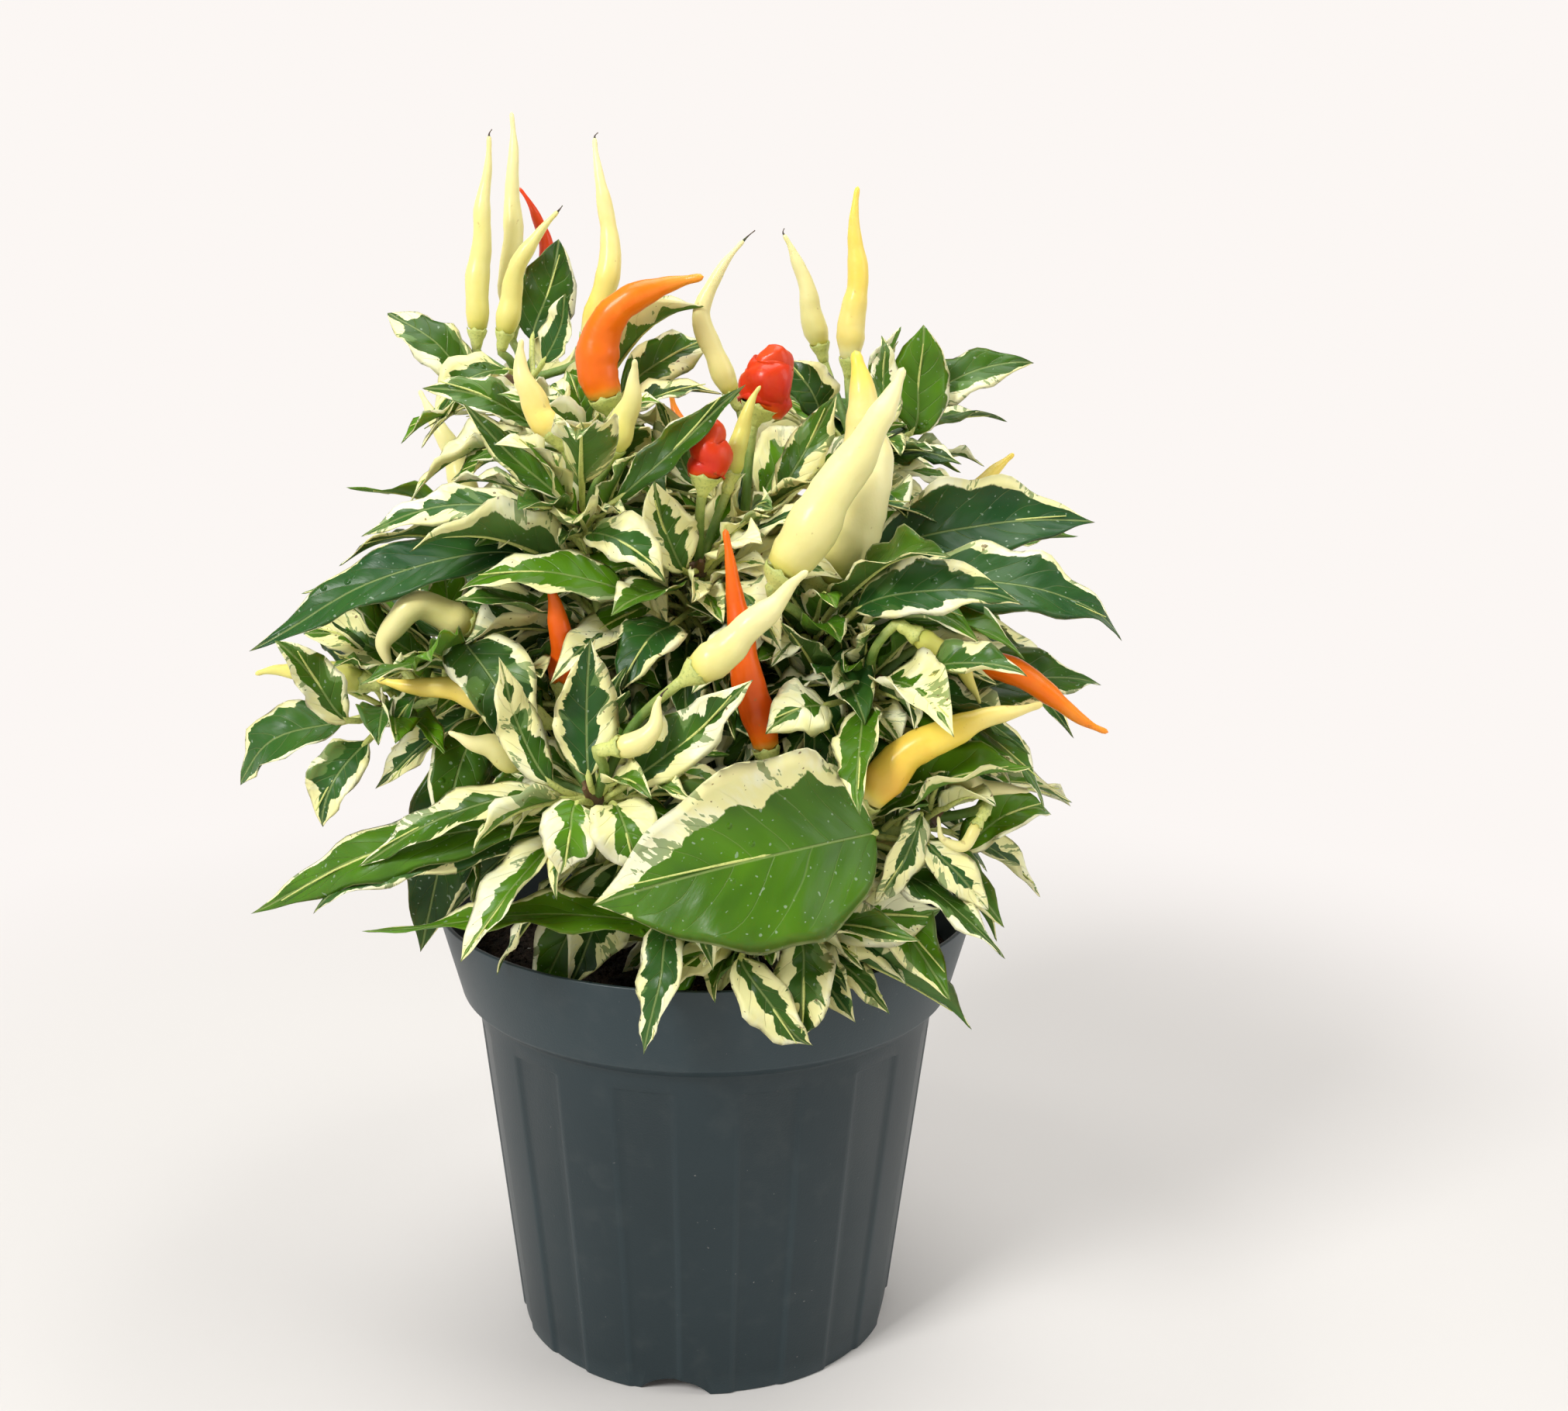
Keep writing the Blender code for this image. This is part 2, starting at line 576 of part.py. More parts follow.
def leaf_sections(leaf, stations, margin=0.0, blade_only=False):
    """Four-point sections from a leaf's root to its last station, and the point of its tip."""
    count = LEAF_LINE_POINTS
    line = smooth_path((leaf.root, leaf.base, leaf.mid, leaf.tip), count)
    petiole = (leaf.base - leaf.root).length
    total = sum((b - a).length for a, b in zip(line, line[1:]))
    base_share = petiole / total
    shares = [(base_share, 0.0)]
    if not blade_only:
        shares.insert(0, (0.0, None))
    shares += [(base_share + (1 - base_share) * station, station) for station in stations]
    sections = []
    for order, (share, station) in enumerate(shares):
        place = min(share * (count - 1), count - 1.001)
        index = int(place)
        centre = line[index].lerp(line[index + 1], place - index)
        along = (line[min(index + 2, count - 1)] - line[max(index - 1, 0)]).normalized()
        normal = (leaf.face - along * leaf.face.dot(along)).normalized()
        side = along.cross(normal)
        if station:
            half = leaf.width * blade_half_width(station) + margin
            rise = half * leaf.fold + leaf.wave * (0.5 if order % 2 else -0.5)
            thick = BLADE_THICKNESS / 2 + margin
        else:
            half = PETIOLE_RADIUS + margin
            rise = 0.0
            thick = PETIOLE_RADIUS + margin
        sections.append(
            (
                centre + side * half + normal * rise,
                centre + normal * thick,
                centre - side * half + normal * rise,
                centre - normal * thick,
            )
        )
    return sections, line[-1]


def leaf_mesh(leaf, stations, margin=0.0, blade_only=False):
    """The corner points and triangles of one leaf, split alike on both of its faces."""
    sections, tip = leaf_sections(leaf, stations, margin, blade_only)
    points = [point for section in sections for point in section]
    points.append(tip)
    faces = [(0, 1, 2), (0, 2, 3)]
    for row in range(len(sections) - 1):
        near, far = row * 4, row * 4 + 4
        for corner in range(4):
            after = (corner + 1) % 4
            if corner in (0, 3):
                faces.append((near + corner, far + corner, near + after))
                faces.append((near + after, far + corner, far + after))
            else:
                faces.append((near + corner, far + after, near + after))
                faces.append((near + corner, far + corner, far + after))
    last = (len(sections) - 1) * 4
    for corner in range(4):
        faces.append((last + corner, len(points) - 1, last + (corner + 1) % 4))
    return points, faces


def leaf_stations(leaf):
    """More stations for a longer blade."""
    length = (leaf.tip - leaf.base).length
    if length > LARGE_LEAF:
        return LARGE_STATIONS
    return MEDIUM_STATIONS if length > MEDIUM_LEAF else SMALL_STATIONS


def leaf_object(name, leaf, collection):
    """A closed mesh object of one leaf."""
    points, faces = leaf_mesh(leaf, leaf_stations(leaf))
    mesh = bpy.data.meshes.new(name)
    mesh.from_pydata([point * MM for point in points], [], faces)
    obj = bpy.data.objects.new(name, mesh)
    collection.objects.link(obj)
    return obj


class Room:
    """What is already placed, so that the next leaf can be bent clear of it."""

    def __init__(self):
        self.taken = []

    def add(self, owner, shape, own_shape=None):
        """Keeps a shape as taken; own_shape is the part of it that its own shoot keeps clear of."""
        points = shape[0]
        centre = sum(points, Vector()) / len(points)
        reach = max((point - centre).length for point in points)
        tree = BVHTree.FromPolygons(*shape)
        own_tree = BVHTree.FromPolygons(*own_shape) if own_shape else tree
        self.taken.append((owner, centre, reach, tree, own_tree))

    def add_object(self, owner, obj):
        """Keeps a mesh object's shape as taken."""
        points = [obj.matrix_world @ vertex.co / MM for vertex in obj.data.vertices]
        self.add(owner, (points, [tuple(face.vertices) for face in obj.data.polygons]))

    def add_leaf(self, owner, leaf):
        """Keeps a leaf as taken: the whole of it for other shoots, its blade for its own."""
        stations = leaf_stations(leaf)
        self.add(owner, leaf_mesh(leaf, stations), leaf_mesh(leaf, stations, blade_only=True))

    def crossings(self, owner, leaf):
        """How many things the leaf would cross: of other shoots, and of its own."""
        stations = leaf_stations(leaf)
        whole = leaf_mesh(leaf, stations, CLEARANCE)
        blade = leaf_mesh(leaf, stations, CLEARANCE, blade_only=True)
        whole_tree = BVHTree.FromPolygons(*whole)
        blade_tree = BVHTree.FromPolygons(*blade)
        centre = sum(whole[0], Vector()) / len(whole[0])
        reach = max((point - centre).length for point in whole[0])
        others = own = 0
        for name, middle, size, tree, own_tree in self.taken:
            if (middle - centre).length > size + reach:
                continue
            if name != owner:
                others += bool(tree.overlap(whole_tree))
            else:
                own += bool(own_tree.overlap(blade_tree))
        return others, own


def bent(leaf, draw, amount):
    """The leaf turned about its base by a small angle drawn at random, and a little shorter."""
    axis = Vector((draw.uniform(-1, 1), draw.uniform(-1, 1), draw.uniform(-1, 1))).normalized()
    turn = Matrix.Rotation(math.radians(amount), 3, axis)
    shrink = 1 - BEND_SHRINK * amount
    mid = leaf.base + turn @ (leaf.mid - leaf.base) * shrink
    tip = leaf.base + turn @ (leaf.tip - leaf.base) * shrink
    return replace(leaf, mid=mid, tip=tip)


def settle(room, spray, leaf, draw, tries, reach, allow_own=False):
    """Places the leaf, bent until it is clear and within reach of the axis, or returns False."""
    best = None
    for attempt in range(tries):
        trial = leaf if attempt == 0 else bent(leaf, draw, BEND_START + BEND_STEP * attempt)
        if math.hypot(trial.tip.x, trial.tip.y) > reach:
            continue
        others, own = room.crossings(spray.name, trial)
        if others:
            continue
        if own == 0:
            best = trial
            break
        if allow_own and best is None:
            best = trial
    if best is None:
        return False
    spray.placed.append(best)
    room.add_leaf(spray.name, best)
    return True


def leaf_draw(spray, kind, order):
    """A random generator for one leaf alone, so that no leaf changes another's numbers."""
    return random.Random(f"{SEED} {spray.name} {kind} {order}")


def filler_leaf(spray, order, draw):
    """A leaf by rule: it turns by the golden angle within the shoot's free side."""
    line = smooth_path(twig_points(spray.twigs[order % len(spray.twigs)]), TWIG_LINE_POINTS)
    place = draw.uniform(*TWIG_SHARE) if order % 3 else 1.0
    root = line[int(place * (TWIG_LINE_POINTS - 1))]
    first, last = spray.spread
    share = (order * GOLDEN_TURN + draw.uniform(0, TURN_JITTER)) % 1.0
    turn = math.radians(first + (last - first) * share)
    lift = math.radians(draw.uniform(*spray.lift))
    outward = Vector((math.cos(turn) * math.cos(lift), math.sin(turn) * math.cos(lift), math.sin(lift)))
    length = draw.uniform(*spray.filler_length)
    base = root + (outward + UP * PETIOLE_RISE).normalized() * length * PETIOLE_SHARE
    tip = base + outward * length - UP * length * draw.uniform(*TIP_DROOP)
    mid = (base + tip) / 2 + UP * length * draw.uniform(*ARCH_SHARE)
    face = (UP + Vector((draw.uniform(-0.5, 0.5), draw.uniform(-0.6, 0.2), 0))).normalized()
    width = length * draw.uniform(*WIDTH_SHARE)
    return Leaf(root, base, mid, tip, width, face, draw.uniform(*FOLD_RANGE), draw.uniform(*WAVE_RANGE))


def spaced_root(spray, root, order):
    """A point a little further down the twig that ends at the root, for each order."""
    for twig in spray.twigs:
        line = smooth_path(twig_points(twig), TWIG_LINE_POINTS)
        reach = [(point - Vector(root)).length for point in line]
        nearest = reach.index(min(reach))
        if reach[nearest] < 1.0:
            break
    else:
        return Vector(root)
    back = ROOT_SPACING * order
    while back > 0 and nearest > 1:
        back -= (line[nearest] - line[nearest - 1]).length
        nearest -= 1
    return line[nearest]


def twig_points(twig):
    """A twig's points; one that starts at a knuckle starts just off the trunk's stub there."""
    if not isinstance(twig[0], str):
        return [Vector(point) for point in twig]
    start = Vector(KNUCKLES[twig[0]])
    along = (Vector(twig[1]) - start).normalized()
    return [start + along * (STUB_LENGTH + GAP), *(Vector(point) for point in twig[1:])]


def pod_radii(pod, count):
    """A pod's radius along its line: a blunt base, a full shoulder and a long taper."""
    radii = []
    for step in range(count):
        share = step / (count - 1)
        rise = min(1.0, POD_NECK + POD_SHOULDER * share)
        fall = (1 - share ** (POD_TAPER * pod.fullness)) ** (POD_FULLNESS / pod.fullness)
        radii.append(max(pod.radius * rise * fall, POD_TIP_RADIUS))
    return radii


def pod_line(pod):
    """The pod's middle line, with few points."""
    return smooth_path(pod.line, 6 if pod.radius > THICK_POD_RADIUS else 5)


def make_pods(collection):
    """Every pod as a curve object: a line with a radius at each of its points."""
    curves = []
    for spray in SPRAYS:
        for pod in spray.pods:
            line = pod_line(pod)
            radii = pod_radii(pod, len(line))
            resolution = 2 if pod.radius > THICK_POD_RADIUS else 1
            curves.append((pod, tube(pod.name, line, radii, collection, resolution)))
    return curves


def stalk_tube(pod, collection):
    """The pod's stalk, from the shoot to the calyx that holds the pod's base."""
    line = pod_line(pod)
    along = (line[1] - line[0]).normalized()
    seat = line[0] - along * GAP
    neck = seat - along * CALYX_LENGTH
    root, bend = (Vector(point) for point in pod.stalk)
    base_radius = pod_radii(pod, len(line))[0]
    radii = (STALK_RADIUS, STALK_RADIUS, STALK_RADIUS * CALYX_NECK, base_radius * CALYX_FLARE)
    points = (root, bend, neck, seat)
    return tube("stalk_" + pod.name, points, radii, collection)


def keep_largest_shell(mesh):
    """Fills the hollows that a union sealed and drops its scraps: one outer shell is left."""
    shape = bmesh.new()
    shape.from_mesh(mesh)
    left = set(shape.faces)
    shells = []
    while left:
        shell = {left.pop()}
        edge_faces = list(shell)
        while edge_faces:
            face = edge_faces.pop()
            for edge in face.edges:
                for other in edge.link_faces:
                    if other in left:
                        left.remove(other)
                        shell.add(other)
                        edge_faces.append(other)
        shells.append(shell)
    shells.sort(key=len)
    for shell in shells[:-1]:
        bmesh.ops.delete(shape, geom=list(shell), context="FACES")
    shape.to_mesh(mesh)
    shape.free()


def shade_round(obj):
    """Smooth shading with sharp edges where faces meet steeply."""
    obj.data.shade_smooth()
    obj.data.set_sharp_from_angle(angle=math.radians(SHARP_DEGREES))


def join(body, loose):
    """One Boolean union of the body with a collection, applied; the collection's objects go."""
    union = body.modifiers.new("union", "BOOLEAN")
    union.operation = "UNION"
    union.operand_type = "COLLECTION"
    union.collection = loose
    union.solver = "MANIFOLD"
    graph = bpy.context.evaluated_depsgraph_get()
    joined = bpy.data.meshes.new_from_object(body.evaluated_get(graph))
    body.modifiers.remove(union)
    body.data = joined
    keep_largest_shell(joined)
    for obj in list(loose.objects):
        bpy.data.objects.remove(obj, do_unlink=True)
    bpy.data.collections.remove(loose)


def turned(name, profile, steps, collection):
    """A solid turned about Z from a profile of (radius, height) points, as a mesh."""
    mesh = bpy.data.meshes.new(name)
    points = [(radius * MM, 0, height * MM) for radius, height in profile]
    mesh.from_pydata(points, [(i, i + 1) for i in range(len(points) - 1)], [])
    obj = bpy.data.objects.new(name, mesh)
    collection.objects.link(obj)
    screw = obj.modifiers.new("turn", "SCREW")
    screw.steps = screw.render_steps = steps
    screw.use_merge_vertices = True
    screw.merge_threshold = MM * TURN_MERGE
    screw.use_normal_calculate = True
    graph = bpy.context.evaluated_depsgraph_get()
    solid = bpy.data.meshes.new_from_object(obj.evaluated_get(graph))
    obj.modifiers.remove(screw)
    obj.data = solid
    return obj


def outer_radius(height):
    """The pot body's outer radius at a height below the band."""
    top = POT_HEIGHT - BAND_HEIGHT - STEP_HEIGHT
    return BASE_RADIUS + (BODY_TOP_RADIUS - BASE_RADIUS) * height / top


def pot_profile():
    """The pot's section: up its inside from the middle of its floor, and down its outside."""
    band = POT_HEIGHT - BAND_HEIGHT
    body = band - STEP_HEIGHT
    floor = PLATE_LIFT + PLATE_THICKNESS
    panel_top = body - PANEL_TOP_DROP
    return (
        (0, PLATE_THICKNESS),
        (PAD_RADIUS - PAD_SHOULDER, PLATE_THICKNESS),
        (PAD_RADIUS - PAD_SHOULDER + PAD_SLOPE, floor),
        (outer_radius(floor) - WALL - PANEL_DEPTH, floor),
        (outer_radius(body) - WALL - PANEL_DEPTH / 2, body - INNER_DROP * 2),
        (BAND_FOOT_RADIUS - WALL, band - INNER_DROP),
        (RIM_RADIUS - WALL, POT_HEIGHT),
        (RIM_RADIUS - LIP_CHAMFER * 0.4, POT_HEIGHT),
        (RIM_RADIUS, POT_HEIGHT - LIP_CHAMFER),
        (BAND_FOOT_RADIUS, band),
        (BODY_TOP_RADIUS, body),
        (outer_radius(panel_top + PANEL_FADE), panel_top + PANEL_FADE),
        (outer_radius(panel_top), panel_top),
        (outer_radius(0), 0),
        (outer_radius(0) - WALL - FOOT_LAND, 0),
        (outer_radius(0) - WALL - FOOT_LAND - FOOT_DRAFT, PLATE_LIFT),
        (PAD_RADIUS + PAD_SLOPE, PLATE_LIFT),
        (PAD_RADIUS, 0),
        (0, 0),
    )


def press_panels(pot):
    """Narrows the edges between the wall's upright panels and sinks every second panel."""
    step = 360.0 / (PANEL_COUNT * STEPS_PER_PANEL)
    panel = 360.0 / PANEL_COUNT
    body = POT_HEIGHT - BAND_HEIGHT - STEP_HEIGHT
    panel_top = (body - PANEL_TOP_DROP + PANEL_FADE / 2) * MM
    spread = (panel - PANEL_EDGE_DEGREES) / 2
    for vertex in pot.data.vertices:
        radius = math.hypot(vertex.co.x, vertex.co.y)
        if radius < PAD_RADIUS * MM * 0.5:
            continue
        place = round(math.degrees(math.atan2(vertex.co.y, vertex.co.x)) / step)
        number, corner = divmod(place, STEPS_PER_PANEL)
        angle = math.radians(number * panel + (corner - 1) * spread)
        outside = radius > (outer_radius(vertex.co.z / MM) - WALL * 0.7) * MM
        if outside and vertex.co.z < panel_top and number % 2:
            radius -= PANEL_DEPTH * MM
        vertex.co.x = radius * math.cos(angle)
        vertex.co.y = radius * math.sin(angle)


def cylinder(name, radius, depth, sides, matrix, collection):
    """A cylinder cutter, placed by a matrix, in millimetres."""
    mesh = bpy.data.meshes.new(name)
    shape = bmesh.new()
    bmesh.ops.create_cone(
        shape, cap_ends=True, segments=sides, radius1=radius * MM, radius2=radius * MM, depth=depth * MM
    )
    shape.to_mesh(mesh)
    shape.free()
    obj = bpy.data.objects.new(name, mesh)
    obj.matrix_world = matrix
    obj.hide_render = True
    obj.display_type = "WIRE"
    collection.objects.link(obj)
    return obj


def make_pot(collection):
    """The pot's turned and panelled wall and floor."""
    pot = turned("pot", pot_profile(), PANEL_COUNT * STEPS_PER_PANEL, collection)
    press_panels(pot)
    shade_round(pot)
    pot.data.materials.append(principled("slate_plastic"))
    return pot


def pierce_pot(pot, cutters):
    """Cuts the arches in the pot's foot and the drain holes in its floor."""
    arch = (NOTCH_WIDTH**2 / 4 + NOTCH_RISE**2) / (2 * NOTCH_RISE)
    for order in range(NOTCH_COUNT):
        turn = Matrix.Rotation(math.radians(NOTCH_FIRST_DEGREES + 360 / NOTCH_COUNT * order), 4, "Z")
        shift = Matrix.Translation(Vector((BASE_RADIUS * MM, 0, (NOTCH_RISE - arch) * MM)))
        lay = Matrix.Rotation(math.radians(90), 4, "Y")
        cylinder(f"notch_cutter_{order + 1}", arch, NOTCH_DEPTH, NOTCH_SIDES, turn @ shift @ lay, cutters)
    for order in range(DRAIN_COUNT):
        turn = math.radians(360 / DRAIN_COUNT * (order + 0.5))
        place = Vector((DRAIN_CIRCLE * math.cos(turn), DRAIN_CIRCLE * math.sin(turn), PLATE_LIFT)) * MM
        name = f"drain_cutter_{order + 1}"
        cylinder(name, DRAIN_RADIUS, DRAIN_DEPTH, DRAIN_SIDES, Matrix.Translation(place), cutters)
    cut = pot.modifiers.new("cut", "BOOLEAN")
    cut.operation = "DIFFERENCE"
    cut.operand_type = "COLLECTION"
    cut.collection = cutters
    cut.solver = "EXACT"


def make_soil(collection):
    """The potting soil: it fills the pot, with a plain hole for the trunk."""
    band = POT_HEIGHT - BAND_HEIGHT
    body = band - STEP_HEIGHT
    floor = PLATE_LIFT + PLATE_THICKNESS
    slope = (RIM_RADIUS - BAND_FOOT_RADIUS) / (BAND_HEIGHT + INNER_DROP)
    edge = BAND_FOOT_RADIUS - WALL - SOIL_CLEARANCE + slope * (SOIL_LEVEL - EDGE_DROP - band)
    hole = TRUNK_RADIUS + HOLE_CLEARANCE
    profile = (
        (0, TRUNK_FOOT - HOLE_CLEARANCE),
        (hole, TRUNK_FOOT - HOLE_CLEARANCE),
        (hole, SOIL_LEVEL + MOUND_RISE),
        (MOUND_SHOULDER, SOIL_LEVEL + MOUND_RISE * 0.75),
        (MOUND_FOOT, SOIL_LEVEL),
        (edge, SOIL_LEVEL - EDGE_DROP),
        (BAND_FOOT_RADIUS - WALL - SOIL_CLEARANCE, band),
        (outer_radius(body) - WALL - PANEL_DEPTH / 2 - SOIL_CLEARANCE, body - INNER_DROP),
        (outer_radius(floor) - WALL - PANEL_DEPTH - SOIL_CLEARANCE, floor + SOIL_CLEARANCE),
        (PAD_RADIUS - PAD_SHOULDER + PAD_SLOPE, floor + SOIL_CLEARANCE),
        (PAD_RADIUS - PAD_SHOULDER - SOIL_CLEARANCE, PLATE_THICKNESS + SOIL_CLEARANCE),
        (0, PLATE_THICKNESS + SOIL_CLEARANCE),
    )
    soil = turned("soil", profile, SOIL_STEPS, collection)
    for vertex in soil.data.vertices:
        radius = math.hypot(vertex.co.x, vertex.co.y) / MM
        if vertex.co.z / MM > SOIL_LEVEL - EDGE_DROP * 0.9 and radius > hole + 1:
            angle = math.atan2(vertex.co.y, vertex.co.x)
            bump = math.sin(3 * angle + radius) + math.sin(7 * angle - 0.3 * radius)
            vertex.co.z += SOIL_BUMP * MM * bump * 0.5
    shade_round(soil)
    soil.data.materials.append(principled("potting_soil"))
    return soil


def make_trunk(collection, loose):
    """The trunk, its limbs and the stubs that the shoots stand on, as one body."""
    fork = Vector(FORK)
    curves = [
        tube(
            "trunk",
            smooth_path(((0, 0, TRUNK_FOOT), (0, 0, SOIL_LEVEL), fork), STEM_POINTS),
            [TRUNK_RADIUS, TRUNK_RADIUS, TRUNK_RADIUS * 0.9, TRUNK_RADIUS * 0.8],
            collection,
            2,
        )
    ]
    for name, knuckle in KNUCKLES.items():
        start = Vector(LIMB_STARTS.get(name, FORK))
        end = Vector(knuckle)
        bulge = (start + end) / 2 + Vector((end.x - start.x, end.y - start.y, 0)) * LIMB_BULGE
        line = smooth_path((start, bulge, end), LIMB_POINTS)
        radii = [LIMB_RADIUS * 1.1, LIMB_RADIUS, LIMB_RADIUS * 0.9]
        curves.append(tube("limb_" + name, line, radii, loose))
    for spray in SPRAYS:
        for twig in spray.twigs:
            if isinstance(twig[0], str):
                start = Vector(KNUCKLES[twig[0]])
                end = twig_points(twig)[0]
                end -= (end - start).normalized() * GAP
                radii = [TWIG_RADIUS * STUB_FLARE] * 2
                curves.append(tube("stub_" + spray.name, (start, end), radii, loose))
    solids = [as_mesh(curve) for curve in curves]
    solids[0].data.materials.append(principled("stem_green"))
    join(solids[0], loose)
    shade_round(solids[0])
    return solids[0]


def grow():
    """Makes every part of the plant and its pot."""
    plant = new_collection("potted_chilli_plant")
    pot = make_pot(plant)
    soil = make_soil(plant)
    trunk = make_trunk(plant, new_collection("loose_trunk"))
    room = Room()
    for part in (pot, soil, trunk):
        room.add_object(part.name, part)

    stems = {}
    loose = {spray.name: new_collection("loose_" + spray.name) for spray in SPRAYS}
    for spray in SPRAYS:
        curves = []
        for order, twig in enumerate(spray.twigs):
            points = twig_points(twig)
            line = smooth_path(points, STEM_POINTS)
            radii = [TWIG_RADIUS, TWIG_RADIUS * 0.95, TWIG_RADIUS * 0.9, TWIG_RADIUS * 0.9]
            home = plant if order == 0 else loose[spray.name]
            name = spray.name if order == 0 else f"{spray.name}_twig_{order + 1}"
            curves.append(tube(name, line, radii, home))
        curves += [stalk_tube(pod, loose[spray.name]) for pod in spray.pods]
        stems[spray.name] = curves
    pods = make_pods(plant)
    for spray in SPRAYS:
        solids = [as_mesh(curve) for curve in stems[spray.name]]
        solids[0].data.materials.append(principled(spray.colour))
        stems[spray.name] = solids
        for solid in solids:
            room.add_object(spray.name, solid)
    for pod, curve in pods:
        solid = as_mesh(curve)
        solid.data.materials.append(principled(pod.colour))
        shade_round(solid)
        room.add_object(pod.name, solid)

    for spray in SPRAYS:
        for order, leaf in enumerate(spray.leaves):
            root = spaced_root(spray, leaf.root, order)
            rooted = replace(leaf, root=root)
            draw = leaf_draw(spray, "hand", order)
            settle(room, spray, rooted, draw, HAND_TRIES, HAND_REACH, allow_own=True)
    for order in range(max(spray.fillers for spray in SPRAYS)):
        for spray in SPRAYS:
            if order >= spray.fillers:
                continue
            draw = leaf_draw(spray, "filler", order)
            for _again in range(FILLER_DRAWS):
                if settle(room, spray, filler_leaf(spray, order, draw), draw, FILLER_TRIES, REACH):
                    break
    for spray in SPRAYS:
        for number, leaf in enumerate(spray.placed):
            leaf_object(f"{spray.name}_leaf_{number + 1}", leaf, loose[spray.name])
        join(stems[spray.name][0], loose[spray.name])
        shade_round(stems[spray.name][0])

    cutters = new_collection("cutters")
    cutters.hide_render = True
    pierce_pot(pot, cutters)


clear_scene()
grow()
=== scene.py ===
"""The looks of a potted variegated chilli plant, built around its solids.

Sizes are in millimetres until a mesh is made, and every mesh is in metres. +Z is up, the pot
stands on z = 0 with its axis on Z, and -Y is the plant's front.
"""

import logging
import random
from dataclasses import dataclass, field, replace
from enum import Enum
from math import atan2, cos, degrees, exp, hypot, pi, radians, sin, sqrt
from typing import Callable, Sequence, Union

import bmesh
import bpy
import numpy as np
from bpy.types import ID, Material, Mesh, Node, NodeSocket, NodeTree, Object
from mathutils import Matrix, Vector
from mathutils.bvhtree import BVHTree


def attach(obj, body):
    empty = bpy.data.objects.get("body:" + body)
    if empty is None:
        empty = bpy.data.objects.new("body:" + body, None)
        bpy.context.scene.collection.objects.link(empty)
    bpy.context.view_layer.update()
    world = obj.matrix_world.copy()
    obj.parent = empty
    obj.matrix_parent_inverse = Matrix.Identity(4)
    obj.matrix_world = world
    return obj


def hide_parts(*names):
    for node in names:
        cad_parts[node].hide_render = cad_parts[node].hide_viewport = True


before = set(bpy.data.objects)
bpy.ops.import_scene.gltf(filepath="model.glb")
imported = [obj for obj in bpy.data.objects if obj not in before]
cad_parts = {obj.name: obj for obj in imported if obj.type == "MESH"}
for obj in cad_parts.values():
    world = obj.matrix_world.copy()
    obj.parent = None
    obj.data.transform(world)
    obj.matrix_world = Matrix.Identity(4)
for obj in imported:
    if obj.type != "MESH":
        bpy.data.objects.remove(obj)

logging.basicConfig(level=logging.INFO, format="%(message)s")
log = logging.getLogger("chilli_plant")

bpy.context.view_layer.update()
BODY = "root"
MM = 0.001
GAP = 0.3
SEED = 23
FULL_TURN = 2 * pi
UP = Vector((0, 0, 1))
EYE = (-1.5, -382.1, 226.8)

Colour = tuple[float, float, float]
Point = tuple[float, float, float]
Places = Sequence[Sequence[float]]
Shape = tuple[list[Vector], list[tuple[int, ...]]]

# Stems
STUB_LENGTH = 7.0
STEM_POINTS = 4
TWIG_RADIUS = 1.7
LIMB_RADIUS = 2.4
LIMB_BULGE = 0.12
TRUNK_RADIUS = 4.2
TRUNK_FOOT = 60.4
SOIL_LEVEL = 83.0
STALK_RADIUS = 0.95
CALYX_LENGTH = 3.2
CALYX_NECK = 1.25
CALYX_FLARE = 1.02

# Pods
POD_NECK = 0.62
POD_SHOULDER = 2.6
POD_TAPER = 1.6
POD_FULLNESS = 0.8
POD_TIP_RADIUS = 0.35
THICK_POD_RADIUS = 3.2

# Leaves
BLADE_THICKNESS = 0.9
PETIOLE_RADIUS = 0.75
OUTLINE_RISE = 0.75
OUTLINE_FALL = 1.35
LARGE_LEAF = 42.0
MEDIUM_LEAF = 26.0
LEAF_LINE_POINTS = 49
ROOT_SPACING = 1.7
CLEARANCE = 0.35
BEND_START = 2.0
BEND_STEP = 0.8
BEND_SHRINK = 0.004
GOLDEN_TURN = 0.618
PATH_STEPS = 16
TWIG_LINE_POINTS = 40
LONG_STALK = 7.0


# ---- Lines ----


def path_places(points: Places, shares: Sequence[float]) -> list[Vector]:
  """Finds places on a Catmull-Rom line.

  Args:
    points: The points that the line runs through.
    shares: The places wanted, as rising shares of its length.

  Returns:
    The places.
  """
  knots = [Vector(point) for point in points]
  ends = [knots[0] * 2 - knots[1], *knots, knots[-1] * 2 - knots[-2]]
  fine = []
  for before, start, end, after in zip(ends, ends[1:], ends[2:], ends[3:]):
    slope = end - before
    bend = 2 * before - 5 * start + 4 * end - after
    turn = 3 * start - before - 3 * end + after
    for t in (step / PATH_STEPS for step in range(PATH_STEPS)):
      fine.append(0.5 * (2 * start + slope * t + bend * t * t + turn * t**3))
  fine.append(knots[-1])
  lengths = [0.0]
  for start, end in zip(fine, fine[1:]):
    lengths.append(lengths[-1] + (end - start).length)
  placed = []
  index = 0
  for share in shares:
    wanted = lengths[-1] * share
    while index < len(fine) - 2 and lengths[index + 1] < wanted:
      index += 1
    span = lengths[index + 1] - lengths[index]
    part = (wanted - lengths[index]) / span if span else 0.0
    placed.append(fine[index].lerp(fine[index + 1], part))
  return placed


def evenly(count: int) -> list[float]:
  """Gives a count of shares, spaced evenly from 0 to 1."""
  return [step / (count - 1) for step in range(count)]


def smooth_path(points: Places, count: int) -> list[Vector]:
  """Spaces a count of places evenly on a Catmull-Rom line."""
  return path_places(points, evenly(count))


